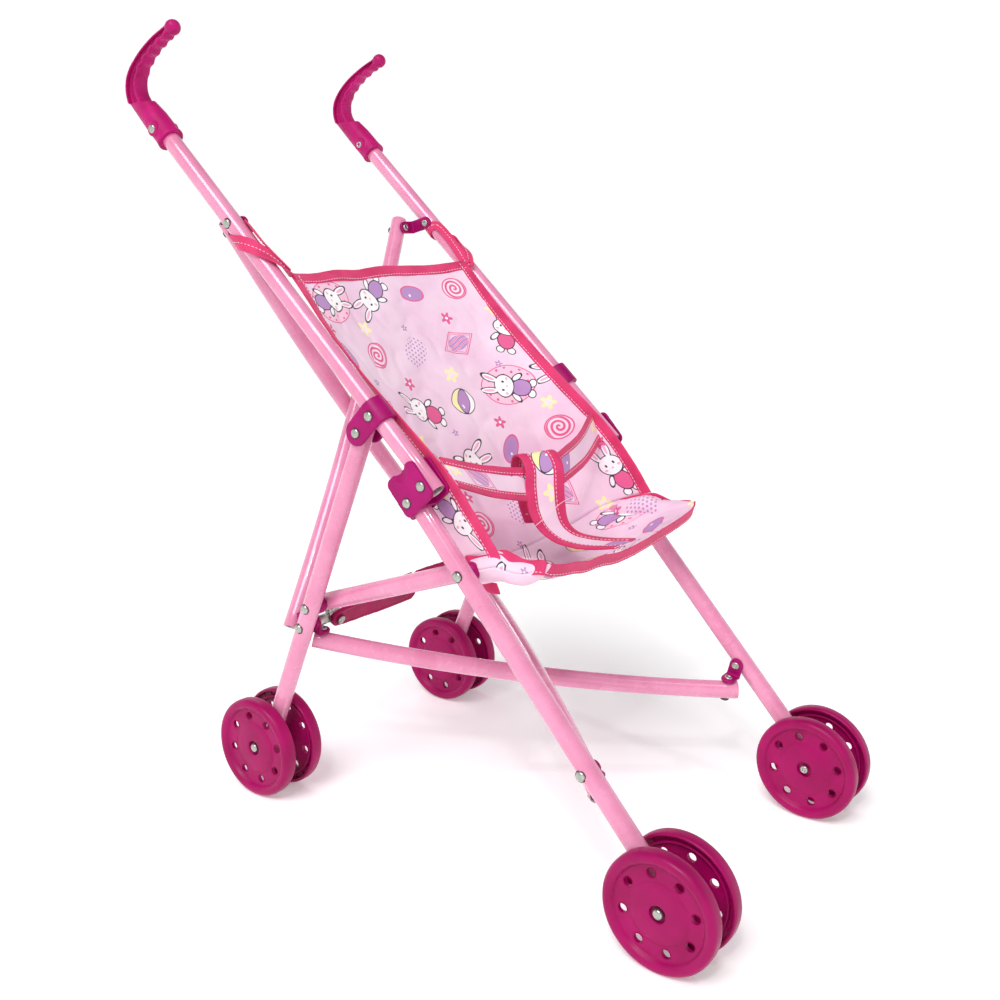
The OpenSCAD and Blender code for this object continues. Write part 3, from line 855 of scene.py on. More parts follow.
def wheels():
    base = wheel_shape()
    for n, s in SIDES:
        for end, hub in (("f", FRONT_HUB), ("r", REAR_HUB)):
            for where, out in (("out", 1), ("in", -1)):
                name = f"wheel_{end}{n[0]}_{where}"
                place = frame_at(at(hub, s * (SIDE_X + out * WHEEL_IN)), (0, 0, 1), (s * out, 0, 0))
                shape = Shape().add(base)
                shape.points = [place @ p for p in shape.points]
                piece(name, shape, [SHINY], name, [name], crisp=50, merge=0.01)


# ---------------------------------------------------------------- plastic fittings
# radii of the sleeves round the tubes, the thickness and place of the cheeks beside them, the ear's and
# its boss's radius, and the lock arm's thickness and the width of its border
TUBE_GAP_R, COLLAR_R, KNUCKLE_R = 6.4, 9.15, 9.1
CHEEK_T, CHEEK_IN = 2.25, 6.75
EAR_R, BOSS_R = 5.1, 4.4
ARM_T, ARM_RIM = 3.4, 1.5
# first and last angle of a round outline, which its last edge closes
ALL_ROUND = (0, 350)


def wrap(shape, p, angle, r0, r1, a0, a1, d0, d1, n=18):
    """Part of a sleeve round a side tube: from radius r0 to r1 and angle a0 to a1, 0 pointing outward
    and 90 to the tube's upper side, from d0 to d1 along it."""
    m = side_place(p, 0, angle)
    place = Matrix((m.col[2], m.col[1], m.col[0], m.col[3])).transposed()
    outline = arc(0, 0, r1, a0, a1, n) + arc(0, 0, r0, a1, a0, n)
    shape.prism(outline, place, d0, d1)


def collar():
    shape = Shape()
    length = dist(COLLAR_HUB, REAR_TOP)
    down = slope(COLLAR_HUB, REAR_TOP)
    cheek = arc(length, 0, 8.7, -90, 90, 14) + [(-1.5, 8.7), (-1.5, -8.7)]
    for u in (-9.0, CHEEK_IN):
        shape.prism(cheek, side_place(COLLAR_HUB, u, down), 0, CHEEK_T)
    wrap(shape, COLLAR_HUB, HANDLE_A, TUBE_GAP_R, COLLAR_R, -6, 186, -8.7, 8.7)
    return shape


def knuckle():
    shape = Shape()
    lo, hi = -8.8, 19.4
    for u0, u1 in ((-8.9, -CHEEK_IN), (CHEEK_IN, 9.2)):
        shape.prism(rounded_box(lo, hi, -6.5, 21.8, 4.4), side_place(LEG_TOP, u0, FRONT_A), 0, u1 - u0)
    wrap(shape, LEG_TOP, FRONT_A, TUBE_GAP_R, KNUCKLE_R, 170, 370, lo, hi)
    shape.prism([(lo, 5.6), (hi, 5.6), (hi, 9.4), (lo, 9.4)], side_place(LEG_TOP, -7, FRONT_A), 0, 14)
    return shape


def thumb_dent(side):
    """Presses a shallow hollow into the knuckle's outer cheek, at its upper rear edge."""
    place = side_place(LEG_TOP, 0, FRONT_A, side).inverted()
    back = place.inverted()

    def bend(p):
        q = place @ p
        a, b = (q.x - 19.0) / 8.0, (q.y * side - 8.5) / 6.5
        pull = max(0.0, 1 - a * a - b * b)
        if q.z > 4:
            q.z -= 1.5 * pull ** 0.7
            q.x -= 2.2 * max(0.0, 1 - b * b) * max(0.0, (q.x - 14) / 6)
        return back @ q

    return bend


def bracket(p, q, x, angle, up, ear, low):
    """A plastic strap with one round ear beside the leg at p and a round plate on the brace at q, its
    underside at low from the brace's axis; up is the plate's side of the brace."""
    along = ahead(angle)
    out = above(angle) * up
    d = at(p, 0) - at(q, 0)
    e, f = d.dot(along), d.dot(out)
    shape = Shape()
    # ear and web, in the side plane
    side = frame_at(at(q, SIDE_X + ear), along, (1, 0, 0))
    web = [(-5, up * low), (5, up * low), (e + 5, up * f), (e - 5, up * f)]
    if up < 0:
        web.reverse()
    shape.prism(web, side, 0, PLATE_T)
    shape.prism(arc(e, up * f, EAR_R, *ALL_ROUND, 28), side, 0, PLATE_T)
    shape.prism(arc(e, up * f, BOSS_R, *ALL_ROUND, 28), side, -0.35, PLATE_T)
    # plate on the brace
    lie = frame_at(at(q, 0) + out * low, (1, 0, 0), out)
    length = SIDE_X + ear + PLATE_T
    b = 5.0
    plate = [(length, -b), (length, b), (x, b)] + arc(x, 0, b, 90, 270, 16)[1:-1] + [(x, -b)]
    shape.prism(plate, lie, 0, PLATE_T)
    shape.prism(arc(x, 0, 4.2, *ALL_ROUND, 28), lie, 0, PLATE_T + 0.3)
    return shape


def brace_rivet(q, x, angle, up, low_at, washer):
    out = above(angle) * up
    shape = Shape()
    top = frame_at(at(q, x) + out * (low_at + PLATE_T + 0.1), (1, 0, 0), out)
    tail(shape, top, 1.2)
    if washer:
        low = frame_at(at(q, x) - out * PLATE_LOW, (1, 0, 0), -out)
        head(shape, low, 2.9, 1.5)
        shape.lathe([(SHANK_R, -2 * PLATE_LOW - 2.2), (SHANK_R, 0.2)], low, 20)
    return shape


def arm_shape(s):
    """One half of the lock strut: a flat arm with a raised border and a notch at its lap."""
    place = arm_place(0) @ Matrix.Rotation(-pi / 2, 4, "X") @ Matrix.Scale(-1, 4, (0, 1, 0))
    outline = [(s * a, b) for a, b in [(ARM_X, -6.6)] + arc(ARM_X, 0, 6.6, -80, 80, 12) + [
        (ARM_X, 6.6), (70, 7.2), (16, 9.2), (12, 7.6), (8, 9.4), (-6, 9.4), (-9, 5), (-9, -6), (-6, -9.4),
        (20, -9.4), (70, -7.2)]]
    if s < 0:
        outline.reverse()
    core = [(s * a, b) for a, b in [(66, -5.2), (66, 5.2), (20, 6.8), (20, -7.0)]]
    if s < 0:
        core.reverse()
    w0 = 1.6 if s > 0 else -5.0
    shape = Shape().prism(outline, place, w0 + 0.5, w0 + 2.9)
    n = len(outline)
    for k in range(n):
        p, q = Vector(outline[k]), Vector(outline[(k + 1) % n])
        if (q - p).length < 0.1:
            continue
        side = Vector(((q - p).y, -(q - p).x)).normalized()
        border = [p - side * ARM_RIM, q - side * ARM_RIM, q + side * 0.05, p + side * 0.05]
        shape.prism([tuple(c) for c in border], place, w0, w0 + ARM_T)
    shape.prism(arc(0, 0, 5.2, *ALL_ROUND, 24), place, w0, w0 + ARM_T)
    shape.prism(arc(s * ARM_X, 0, 4.8, *ALL_ROUND, 24), place, w0, w0 + ARM_T)
    return shape


def spacer_shape(p):
    return Shape().lathe([(6.1, -9.3), (6.3, -9.0), (6.3, -5.2), (5.0, -4.2)], side_place(p, 0), 40)


def fittings():
    for n, s in SIDES:
        def side(shape):
            return shape if s > 0 else shape.mirrored()

        moulded(f"collar_{n}", side(collar()), MAGENTA, f"handle_{n}", [f"collar_{n}"])
        moulded(f"knuckle_{n}", side(knuckle()), MAGENTA, f"front_leg_{n}", [f"knuckle_{n}"],
                bend=thumb_dent(s))
        up = 1 if cos(BACK_A + pi / 2) < 0 else -1
        for name, p, q, x, a, u, ear, low, washer in (
                ("top_link", LINK_HUB, BACK_TOP, BACK_TOP_X, BACK_A, up, EAR, PLATE_LOW, True),
                ("low_link", BRACE_HUB, BACK_FOOT, BACK_FOOT_X, BACK_A, up, EAR, PLATE_LOW + LOW_GAP, False),
                ("front_bracket", LEG_BRACE, FLOOR_FRONT, FLOOR_X, FLOOR_A, 1, EAR, PLATE_LOW, True),
                ("rear_bracket", BRACE_HUB, FLOOR_REAR, FLOOR_X, FLOOR_A, 1, EAR - PLATE_T - 0.3, PLATE_LOW,
                 False)):
            node = f"{name}_{n}"
            shape = side(bracket(p, q, x, a, u, ear, low))
            moulded(node, shape, MAGENTA, node, [node], voxel=0.4, rounds=3)
            shape = side(brace_rivet(q, x, a, u, low, washer))
            piece(f"{node}_rivet", shape, [STEEL, RIVET_SHADE], node)
        moulded(f"lock_arm_{n}", arm_shape(s), ARM, f"lock_arm_{n}", [f"lock_arm_{n}"], voxel=0.5, rounds=2)
        for node, p, body in (("front_spacer", LEG_RAIL, "front_leg"), ("rear_spacer", RAIL_HUB, "rear_leg")):
            shape = side(spacer_shape(p))
            piece(f"{node}_{n}", shape, [MAGENTA], f"{body}_{n}", [f"{node}_{n}"])


# ---------------------------------------------------------------- grips
BACK_EDGE = [(455.5, 495), (457.8, 501), (458.2, 508.5), (455.9, 515.8), (449.2, 524.2), (439, 532.4),
             (425.9, 540), (411, 546.5)]
FRONT_EDGE = [(440, 496), (444.0, 502), (445.2, 508), (443.8, 514), (440.2, 519.4), (435.4, 524.2),
              (429.6, 528.8), (422.4, 533.2), (415, 536.9), (407.5, 541)]
FINGER_WAVES = 5
BALL_R = 5.6


def hook_curves(count):
    """The hook's back edge and its front face, waved for the fingers."""
    curves = []
    for points, wave in ((BACK_EDGE, 0.0), (FRONT_EDGE, 0.7)):
        line = spline([(y, z, 0) for y, z in points], count)
        out = []
        for k, p in enumerate(line):
            t = k / (count - 1)
            tangent = heading(line, k)
            ripple = wave * sin(2 * pi * FINGER_WAVES * (t - 0.3) / 0.7) if t > 0.3 else 0
            p = p + Vector((-tangent.y, tangent.x, 0)) * ripple
            out.append((p.x, p.y))
        curves.append(out)
    return curves


def grip_shape():
    """A hook of two plates and a web between them, growing out of a round socket and ending in a ball."""
    count = 60
    back, front = hook_curves(count)
    shape = Shape()

    def between(k, d):
        """The point d millimetres from the front face towards the back edge."""
        f, b = Vector(front[k]), Vector(back[k])
        return f + (b - f).normalized() * d

    def plate(k, d0, d1, half, crown):
        """A plate across the hook from d0 to d1, its face at d0 crowned."""
        row = []
        for a in np.linspace(-1, 1, 13):
            row.append(at(between(k, d0 + crown * a * a), SIDE_X + half * a))
        return row + [at(between(k, d1), SIDE_X + half * a) for a in (0.96, 0, -0.96)]

    def off_handle(past, height):
        """The side plane's point this far past the grip's rivet and this high above the handle's axis."""
        return go(go(GRIP_HUB, HANDLE_A, past), HANDLE_A + pi / 2, height)

    def width(k):
        return 6.0 - 1.3 * k / count

    def depth(k):
        return (Vector(back[k]) - Vector(front[k])).length

    ks = range(count)
    shape.loft([plate(k, 0, 3.0, width(k), 0.8) for k in ks])
    shape.loft([plate(k, depth(k), depth(k) - 1.7, width(k) - 0.3, -0.5) for k in ks])
    shape.loft([plate(k, 1.5, depth(k) - 0.8, 1.5, 0) for k in ks])
    # the socket, round on the tube and cut off at a slant where the hook's hollow sides begin
    lip = [(-11.4, 6.5), (-11.4, 9.4), (-10.9, 9.7), (-9.0, 9.5), (-6.0, 9.15), (2.0, 9.1), (10.0, 9.1)]
    rows = []
    for d, r in lip:
        rows.append([(off_handle(d, r * cos(t)), r * sin(t)) for t in around(36)])
    for share in np.linspace(0.15, 1, 10):
        upper = Vector(off_handle(10 + 11.5 * share, 9.1 - 0.7 * share))
        lower = Vector(off_handle(10 + 28.0 * share, -9.1 + 0.2 * share))
        half = 9.1 - 2.6 * share
        rows.append([((upper + lower) / 2 + (upper - lower) / 2 * cos(t), half * sin(t))
                     for t in around(36)])
    shape.loft([[at(p, SIDE_X + u) for p, u in row] for row in rows])
    shape.lathe([(4.6, -9.9), (5.3, -9.6), (5.3, 9.6), (4.6, 9.9)], side_place(GRIP_HUB, 0), 32)
    ball = at((407.6, 544.6), SIDE_X)
    globe = [polar(BALL_R, a) for a in range(-86, 90, 8)]
    shape.lathe(globe, frame_at(ball, (1, 0, 0), (0, 0, 1)), 32)
    return shape


def grips():
    for n, s in SIDES:
        shape = grip_shape()
        moulded(f"grip_{n}", shape if s > 0 else shape.mirrored(), GRIP, f"handle_{n}", [f"grip_{n}"],
                voxel=0.55, rounds=3)


# ---------------------------------------------------------------- sewn seat
def mm(x, y, z):
    return Vector((x, y - AXLE_Y, z))


# half of the sling's net, from its left edge to its middle: (x, y, z), rows from the top hem down to the
# rear fold, then forward to the front hem
REAR_FOLD = [(-96, 132.3, 215), (-94, 147, 209), (-87, 168, 200), (-60, 179.5, 189), (0, 182, 184)]
BACK_NET = [
    [(-97.0, 305.0, 377.0), (-85, 307.5, 376.4), (-60, 310.5, 375.8), (-30, 312.5, 377.0), (0, 313.0, 378.5)],
    [(-97.5, 263.5, 335.0), (-88, 268.0, 333.0), (-62, 277.0, 330.5), (-30, 283.5, 329.5), (0, 285.5, 329.5)],
    [(-97.5, 217.6, 297.0), (-91, 226.0, 292.5), (-68, 241.0, 284.5), (-34, 249.5, 279.0), (0, 251.5, 277.5)],
    [(-97.5, 170.8, 259.7), (-94, 184.0, 252.5), (-82, 205.0, 239.0), (-46, 216.0, 231.5), (0, 218.5, 229.5)],
    [(-97.0, 147.0, 234.0), (-94.5, 160.0, 228.0), (-87, 181.0, 214.0), (-52, 192, 203), (0, 194.5, 199.5)],
    REAR_FOLD]
BASE_NET = [
    REAR_FOLD,
    [(-93.0, 126.0, 213.0), (-88, 139.0, 206.0), (-77, 156.0, 193.0), (-54, 168.0, 181.0), (0, 172.0, 175.5)],
    [(-91.0, 117.0, 212.0), (-84, 124.0, 204.0), (-70, 134.0, 193.0), (-46, 142.0, 182.0), (0, 146.0, 177.0)],
    [(-91.0, 107.0, 213.0), (-83, 107.0, 206.5), (-68, 110.0, 198.0), (-44, 116.0, 189.5), (0, 119.0, 186.5)],
    [(-92.0, 98.0, 212.5), (-86, 95.5, 210.0), (-68, 94.0, 207.0), (-40, 94.5, 203.2), (0, 94.0, 200.6)]]


def net_surface(net, rows, cols, far_shift=None):
    """A smooth surface through the net and its mirror image."""
    lines = []
    for k, row in enumerate(net):
        left = [mm(*p) for p in row]
        right = [Vector((-p.x, p.y, p.z)) for p in left[:-1]][::-1]
        if far_shift:
            dy, dz = far_shift(k / (len(net) - 1))
            right = [p + Vector((0, dy, dz)) * (max(0.0, p.x) / 97) for p in right]
        lines.append(spline(left + right, cols))
    columns = [spline([line[j] for line in lines], rows) for j in range(cols)]
    return [[columns[j][i] for j in range(cols)] for i in range(rows)]


def normals(grid):
    """The surface's normal at each point of the grid."""
    n, m = len(grid), len(grid[0])
    out = []
    for i in range(n):
        row = []
        for j in range(m):
            du = grid[i][min(j + 1, m - 1)] - grid[i][max(j - 1, 0)]
            dv = grid[min(i + 1, n - 1)][j] - grid[max(i - 1, 0)][j]
            row.append(du.cross(dv).normalized())
        out.append(row)
    return out


def print_places(grid, u0=0.0, v0=0.0):
    """Distances over the cloth, in metres, counted from the middle of the first row."""
    n, m = len(grid), len(grid[0])
    mid = m // 2
    v = [0.0]
    for i in range(1, n):
        v.append(v[-1] + (grid[i][mid] - grid[i - 1][mid]).length * 0.001)
    out = []
    for i in range(n):
        u = [0.0] * m
        for j in range(mid + 1, m):
            u[j] = u[j - 1] + (grid[i][j] - grid[i][j - 1]).length * 0.001
        for j in range(mid - 1, -1, -1):
            u[j] = u[j + 1] - (grid[i][j] - grid[i][j + 1]).length * 0.001
        out.append([(u0 + u[j], v0 - v[i]) for j in range(m)])
    return out


def crumple(grid, height, seed=0.0, size=38.0):
    """Soft folds and fine creases, fading out at the sewn edges."""
    lift = normals(grid)
    n, m = len(grid), len(grid[0])
    out = []
    for i in range(n):
        row = []
        for j in range(m):
            p = grid[i][j]
            edge = min(i, n - 1 - i) / n * 6, min(j, m - 1 - j) / m * 6
            fade = min(1.0, 0.15 + edge[0]) * min(1.0, 0.15 + edge[1])
            q = Vector((p.x / size, p.y / size, p.z / size + seed))
            soft = noise.noise(q) + 0.45 * noise.noise(q * 2.3)
            ridge = 1 - abs(noise.noise(q * 1.6 + Vector((7, 3, seed)))) * 2.4
            crease = max(0.0, ridge) ** 3 * 0.55
            row.append(p + lift[i][j] * height * fade * (soft + crease))
        out.append(row)
    return out


def cloth_shape(grid, places, thick=0.7):
    """Both faces of the cloth and its edge."""
    lift = normals(grid)
    n, m = len(grid), len(grid[0])
    shape = Shape()
    top = [[grid[i][j] + lift[i][j] * thick / 2 for j in range(m)] for i in range(n)]
    low = [[grid[i][j] - lift[i][j] * thick / 2 for j in range(m)] for i in range(n)]
    shape.grid(top, uv=places)
    shape.grid(low, uv=places, flip=True)
    for a, b, ua, in ((top[0], low[0], places[0]), (low[-1], top[-1], places[-1])):
        shape.grid([b, a], uv=[ua, ua])
    left = [[low[i][0] for i in range(n)], [top[i][0] for i in range(n)]]
    right = [[top[i][-1] for i in range(n)], [low[i][-1] for i in range(n)]]
    for rows, col in ((left, 0), (right, -1)):
        uv = [[places[i][col] for i in range(n)]] * 2
        shape.grid(rows, uv=uv)
    return shape


def tape(path, lift, inward, width=8.0, thick=1.5, over=1.0, pucker=0.22, seed=0.0, stitch_at=None):
    """Binding folded over an edge: path is the edge, lift the cloth's normal and inward the way into the
    cloth at each point. Returns the tape and its stitches."""
    section = [(-over, 0.0), (-over * 0.85, 0.32), (-over * 0.4, 0.46), (1.0, 0.5), (width * 0.35, 0.52),
               (width * 0.7, 0.5), (width - over - 0.5, 0.46), (width - over, 0.36), (width - over, 0.16)]
    loop = section + [(a, -b) for a, b in section[::-1][:-1]]
    rows, places = [], []
    length = 0.0
    for k, p in enumerate(path):
        if k:
            length += (p - path[k - 1]).length
        wob = noise.noise(Vector((length / 9.0, seed, 0.3)))
        wide = noise.noise(Vector((length / 23.0, seed, 5.3)))
        row = []
        for a, b in loop:
            swell = 1 + pucker * wob * (1 if 0 < a < width - 1.5 else 0.3)
            side = a + (0.35 * wide if a > 0 else 0.25 * wob)
            row.append(p + inward[k] * side + lift[k] * (b * thick * swell))
        rows.append(row)
        places.append([(length * 0.001, a * 0.001) for a, b in loop])
    stitches = Shape()
    at_width = width - over - 1.5 if stitch_at is None else stitch_at
    pitch, dash, thin, ends_thin = 2.9, 2.2, 0.24, 0.12
    spots = np.cumsum([0] + [(b - a).length for a, b in zip(path, path[1:])])
    table = np.array([[*p, *n, *w] for p, n, w in zip(path, lift, inward)])
    d = 1.5
    while d + dash < spots[-1] - 1:
        ends = []
        for q in (d, d + dash * 0.5, d + dash):
            vals = [np.interp(q, spots, table[:, c]) for c in range(9)]
            ends.append((Vector(vals[:3]), Vector(vals[3:6]).normalized(), Vector(vals[6:]).normalized()))
        for face in (1, -1):
            rings = []
            for (p, nn, ww), r, up in zip(ends, (ends_thin, thin, ends_thin), (0.42, 0.62, 0.42)):
                c = p + ww * at_width + nn * face * (thick * up)
                rings.append([c + ww * r * cos(t) + nn * face * r * sin(t) for t in around(6)])
            stitches.loft(rings)
        d += pitch
    return Shape().loft(rows, places), stitches


def edge_of(grid, which):
    """An edge of the grid, with the cloth's normal and the way into the cloth along it."""
    lift = normals(grid)
    if which in ("first", "last"):
        i, inner = (0, 1) if which == "first" else (-1, -2)
        path, n = grid[i], lift[i]
        into = [(q - p).normalized() for p, q in zip(grid[i], grid[inner])]
    else:
        j, inner = (0, 1) if which == "left" else (-1, -2)
        path, n = [row[j] for row in grid], [row[j] for row in lift]
        into = [(row[inner] - row[j]).normalized() for row in grid]
    return path, n, into


def sewn(name, shape, material, body, stands_for=(), squash=True, merge=0.02):
    """A piece of the sling; squash gives it its own copy of its mesh."""
    obj = piece(name, shape, [material], body, stands_for, merge=merge)
    if squash:
        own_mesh(obj)
    return obj


def bound(label, edge, body, squash=True, end="", **shape):
    """The binding and the stitching of an edge, as two pieces; edge is what edge_of gives."""
    strip, stitches = tape(*edge, **shape)
    return [sewn(f"{label}_binding{end}", strip, TAPE, body, squash=squash),
            sewn(f"{label}_stitching{end}", stitches, THREAD, body, squash=squash, merge=0)]


def ribbon(centre, across, width, cols=9):
    """A flat strap: centre line points and the direction of its width at each."""
    shares = np.linspace(0, 1, cols)
    return [[c + a.normalized() * width * (t - 0.5) for t in shares] for c, a in zip(centre, across)]


def waved(path, rise, pitch, at_x, spread):
    """The path with waves of this rise and pitch, strongest at -at_x and fading over spread."""
    rise = Vector(rise)
    return [p + rise * sin(p.x / pitch) * exp(-((p.x + at_x) / spread) ** 2) for p in path]


def seat():
    back = net_surface(BACK_NET, 90, 91, lambda t: (4.0 * (1 - t) ** 2, 3.0 * (1 - t) ** 2))
    base = net_surface(BASE_NET, 56, 91, lambda t: (-5.0 * t ** 3, 1.5 * t ** 3))
    back = crumple(back, 2.3, seed=1.0)
    base = crumple(base, 2.0, seed=4.0, size=26.0)
    back_obj = sewn("seat_back_cloth", cloth_shape(back, print_places(back)), CLOTH, "handle_left",
                    ["seat_back", "side_wing_left", "side_wing_right"])
    base_obj = sewn("seat_base_cloth", cloth_shape(base, print_places(base, 0.0, -0.236)), CLOTH,
                    "seat_rail_left", ["seat_base"])
    hems = []
    for which, label in (("first", "top"), ("left", "left"), ("right", "right")):
        path, lift, into = edge_of(back, which)
        if label == "top":
            path = waved(path, (0, 0, 1.3), 11.0, 45, 30)
        else:
            path = path + [path[-1] + Vector((0, -4, -7)), path[-1] + Vector((0, -6, -13))]
            lift, into = lift + [lift[-1]] * 2, into + [into[-1]] * 2
        body = "handle_right" if label == "right" else "handle_left"
        hems += bound(label, (path, lift, into), body, label == "top", width=9.0, seed=len(label))
    path, lift, into = edge_of(base, "last")
    path = waved(path, (0, -0.6, 1.0), 6.5, 40, 26)
    # the binding hangs over the front edge, so that it faces forward
    lift = [Vector((0.35 * p.x / 90, -0.94, 0.3)).normalized() for p in path]
    into = [Vector((0, 0.3, -0.95)).normalized() for p in path]
    front = bound("front", (path, lift, into), "seat_rail_left", width=9.0, seed=9.0, pucker=0.35)


def rail_z(y):
    return LEG_RAIL[1] + (y - LEG_RAIL[0]) * tan(RAIL_A - pi)


def sleeves():
    """The hem of the base folded round each seat rail and closed in front of its end, with a wavy binding."""
    for n, s in SIDES:
        # place along the stroller, height of the sleeve's middle, radius
        line = [(153, 197.4, 7.9), (142, 201.4, 8.0), (131, 205.0, 8.0), (122, 203.8, 7.4), (113, 204.0, 6.8),
                (106, 206.0, 5.6), (100, 208.8, 3.6), (96, 211.4, 0.5)]
        spine = spline(line, 44)
        rows, tops = [], []
        for y, z, radius in spine:
            row = []
            for t in np.linspace(0, 2 * pi, 33):
                w = noise.noise(Vector((y / 13.0, cos(t) * 1.5, sin(t) * 1.5 + s)))
                r = radius * (1 + 0.08 * w) + 0.2 * radius * max(0.0, -sin(t)) ** 2
                row.append(mm(s * (RAIL_X + r * cos(t)), y, z + 1.05 * r * sin(t)))
            rows.append(row)
            tops.append((y, z + radius))
        shape = cloth_shape(rows, print_places(rows, 0.05 * s, -0.33))
        obj = sewn(f"rail_sleeve_{n}", shape, CLOTH, f"seat_rail_{n}", squash=False)
        path, lift, into = [], [], []
        for y, z, _ in spline([(158, rail_z(158) + 8.6, 0)] + [(y, z, 0) for y, z in tops[::6]], 70):
            wave = 1.3 * sin(y / 4.6) * exp(-((y - 118) / 20) ** 2)
            path.append(mm(s * (RAIL_X + 3.0), y, z + 1.2 + wave))
            lift.append(Vector((s, 0, 0.3)).normalized())
            into.append(Vector((0.3 * s, 0, -1)).normalized())
        hem = bound("rail", (path, lift, into), f"seat_rail_{n}", False, f"_{n}", width=9.0, seed=3.0 + s,
                    pucker=0.35)


def strap(name, centre, across, width, hem, body, stands_for, uv0, ends=()):
    """A flat strap of printed cloth, bound along both edges and at the named ends."""
    grid = ribbon(centre, across, width)
    obj = sewn(f"{name}_cloth", cloth_shape(grid, print_places(grid, *uv0)), CLOTH, body, stands_for)
    hems = []
    for which in ("left", "right", *ends):
        hems += bound(f"{name}_{which}", edge_of(grid, which), body, width=hem, over=0.8,
                      seed=len(which) + width)


STRAP_ROWS = 110
THREAD_R = 0.2


def belts():
    top = [(-97, 177, 269), (-60, 171, 257), (-25, 165, 249), (-4, 162, 248.5), (20, 160.5, 256),
           (58, 171, 260), (97, 186, 269)]
    low = [(-96, 160, 249), (-60, 160, 237), (-25, 158.5, 229), (-4, 156.5, 228), (20, 157, 234),
           (58, 165, 239), (97, 176, 249)]
    upper = spline([mm(*p) for p in top], 90)
    lower = spline([mm(*p) for p in low], 90)
    middle = [(a + b) / 2 for a, b in zip(upper, lower)]
    across = [a - b for a, b in zip(upper, lower)]
    strap("waist_belt", middle, across, 22, 6.0, "handle_left", ["waist_belt"], (0.02, 0.1))
    # the strap's middle as (y, z), from the front hem up, over the belt and down behind it; it sways to
    # the left on its way
    line = [(97, 203.5), (110, 202), (124, 201.5), (136, 203.5), (145, 210), (150, 221), (152.5, 235),
            (154.5, 249), (161, 257), (168, 256), (171, 247), (170.5, 235), (167.5, 221), (163, 208)]
    sway, belt_at = 13, 11
    points = []
    for k, p in enumerate(line):
        x = 0.8 * sin(k) - sway * sin(pi * min(1.0, k / belt_at)) ** 0.7
        points.append(mm(x, *p))
    centre = spline(points, STRAP_ROWS)
    across = []
    for k in range(STRAP_ROWS):
        turn = 0.5 * max(0.0, min(1.0, (k - 22) / 22)) + 0.06 * sin(k / 7)
        across.append(Vector((cos(turn), -sin(turn), 0.04 * sin(k / 9))))
    strap("crotch_strap", centre, across, 27, 8.0, "handle_left", ["crotch_strap"],
          (0.09, 0.31), ends=("last",))
    # a thread that has come loose across the strap
    loose = [(-30, 150, 212), (-22, 147, 217), (-8, 143.5, 225), (6, 143, 226.5), (16, 144, 222),
             (26, 148, 221), (38, 153, 226)]
    curl = spline([mm(*p) for p in loose], 60)
    rows = []
    for k, c in enumerate(curl):
        m = frame_at(c, (0, 1, 1), heading(curl, k))
        rows.append([m @ spoke(THREAD_R, t) for t in around(6)])
    shape = Shape().grid(rows, wrap_u=True)
    shape.fan(rows[0], curl[0], flip=True)
    shape.fan(rows[-1], curl[-1])
    sewn("loose_thread", shape, THREAD, "handle_left", merge=0)
    # the sewn-in end of a strap, hanging behind the near front leg
    tail = spline([mm(*p) for p in [(-62, 176, 180), (-52, 179, 172), (-42, 178, 165), (-34, 175, 162)]], 24)
    strip, stitches = tape(tail, [Vector((0.3, -0.8, 0.5)).normalized()] * 24,
                           [Vector((0.1, 0.5, 0.86)).normalized()] * 24, width=8.0, seed=21.0)
    obj = sewn("strap_end", strip, TAPE, "seat_rail_left")


def top_straps():
    """A tape from each upper corner, slanting over its handle tube, round it and back to the corner."""
    # distance up the handle tube, angle round it (0 outward, 90 above), distance from its axis
    turns = [(178, 147, 10.6), (190, 106, 8.6), (203, 62, 7.5), (215, 12, 7.4), (224, -48, 7.4),
             (229, -110, 7.4), (231, -170, 7.4), (227, -228, 7.5), (213, -236, 8.0), (196, -226, 9.2),
             (181, -213, 10.8)]
    for n, s in SIDES:
        places = []
        up = above(HANDLE_A)
        for d, a, r in turns:
            m = side_place(go(HANDLE_FOOT, HANDLE_A, d), 0, HANDLE_A, s)
            out = Vector((s, 0, 0)) * cos(radians(a)) + up * sin(radians(a))
            places.append(m.to_translation() + out * r)
        path = spline(places, STRAP_ROWS)
        foot = at(HANDLE_FOOT, s * SIDE_X)
        axis = ahead(HANDLE_A)
        lift, into = [], []
        for k, p in enumerate(path):
            off = p - foot
            lift.append((off - axis * off.dot(axis)).normalized())
            into.append(lift[-1].cross(heading(path, k)).normalized() * s)
        width = 10.0 if s < 0 else 7.5
        path = [p - w * (width / 2 - 0.5) for p, w in zip(path, into)]
        strip, stitches = tape(path, lift, into, width=width, thick=1.3, seed=s + 11.0,
                               stitch_at=width * 0.42)
        obj = sewn(f"top_strap_{n}", strip, TAPE, f"handle_{n}", squash=False)
        hem = sewn(f"top_strap_stitching_{n}", stitches, THREAD, f"handle_{n}", squash=False, merge=0)


# ---------------------------------------------------------------- stage
def area_light(name, place, target, power, size):
    data = bpy.data.lights.new(name, "AREA")
    data.energy, data.size = power, size
    obj = bpy.data.objects.new(name, data)
    obj.location = place
    obj.rotation_euler = (Vector(place) - Vector(target)).to_track_quat("Z", "Y").to_euler()
    bpy.context.scene.collection.objects.link(obj)


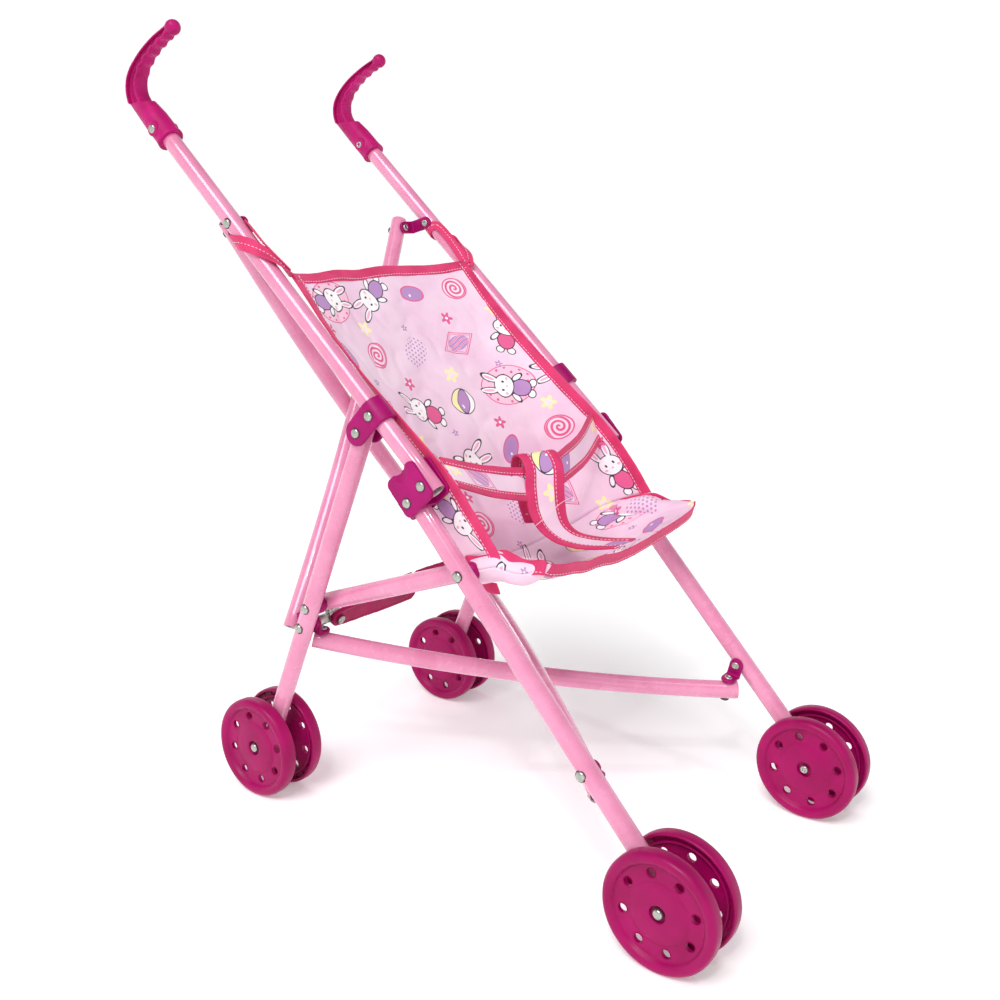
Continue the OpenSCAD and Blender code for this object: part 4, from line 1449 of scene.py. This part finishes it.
def stage():
    scene = bpy.context.scene
    scene.view_settings.view_transform = "Standard"
    world = bpy.data.worlds.new("studio")
    scene.world = world
    world.use_nodes = True
    tree = world.node_tree
    # white all round at the floor's edge, dimmer overhead
    place = tree.nodes.new("ShaderNodeTexCoord")
    parts = tree.nodes.new("ShaderNodeSeparateXYZ")
    height = tree.nodes.new("ShaderNodeMapRange")
    for key, value in (("From Min", 0.3), ("From Max", 0.62), ("To Min", 1.02), ("To Max", 0.22)):
        height.inputs[key].default_value = value
    tree.links.new(place.outputs["Generated"], parts.inputs["Vector"])
    tree.links.new(parts.outputs["Z"], height.inputs["Value"])
    tree.links.new(height.outputs["Result"], tree.nodes["Background"].inputs["Strength"])
    tree.nodes["Background"].inputs["Color"].default_value = (1.0, 1.0, 1.0, 1)
    n = Nodes("floor_paper")
    base = n.mix(n.noise(n.place(), 3.0), rgb(253, 253, 253), rgb(255, 255, 255))
    paper = n.finish(base=base, rough=0.95, spec=0.0)
    n.shader.inputs["Emission Color"].default_value = (1, 1, 1, 1)
    n.shader.inputs["Emission Strength"].default_value = 0.22
    mesh = bpy.data.meshes.new("floor")
    r = 60.0
    mesh.from_pydata([(-r, -r, 0), (r, -r, 0), (r, r, 0), (-r, r, 0)], [], [[0, 1, 2, 3]])
    mesh.materials.append(paper)
    floor = bpy.data.objects.new("floor", mesh)
    scene.collection.objects.link(floor)
    middle = Vector((0, 0, 0.25))
    sun = bpy.data.lights.new("soft_sun", "SUN")
    sun.energy, sun.angle = 1.75, radians(30)
    obj = bpy.data.objects.new("soft_sun", sun)
    obj.rotation_euler = Vector((-0.75, -0.1, 1.0)).to_track_quat("Z", "Y").to_euler()
    scene.collection.objects.link(obj)
    area_light("spark", middle + Vector((-1.3, -0.7, 1.3)), middle, 4, 0.1)
    area_light("spark_high", middle + Vector((-0.2, -1.2, 1.9)), middle, 4, 0.1)
    area_light("rim", middle + Vector((0.9, 1.5, 1.2)), middle, 3, 0.4)


def camera():
    data = bpy.data.cameras.new("camera")
    data.lens, data.sensor_width = 40.9, 36.0
    data.shift_x, data.shift_y = 0.0107, -0.0741
    data.clip_start, data.clip_end = 0.02, 100
    azimuth, elevation, roll = radians(-53.08), radians(10.44), radians(0.27)
    back = Vector((sin(azimuth) * cos(elevation), -cos(azimuth) * cos(elevation),
                   sin(elevation)))
    right = (-back).cross(Vector((0, 0, 1))).normalized()
    up = right.cross(-back)
    turned = right * cos(roll) + up * sin(roll)
    obj = bpy.data.objects.new("camera", data)
    m = Matrix((turned, back.cross(turned), back)).transposed().to_4x4()
    m.translation = (-0.6347, -0.4798, 0.4161)
    obj.matrix_world = m
    bpy.context.scene.collection.objects.link(obj)
    bpy.context.scene.camera = obj


camera()
stage()
tubes()
rivets()
wheels()
fittings()
grips()
seat()
sleeves()
belts()
top_straps()
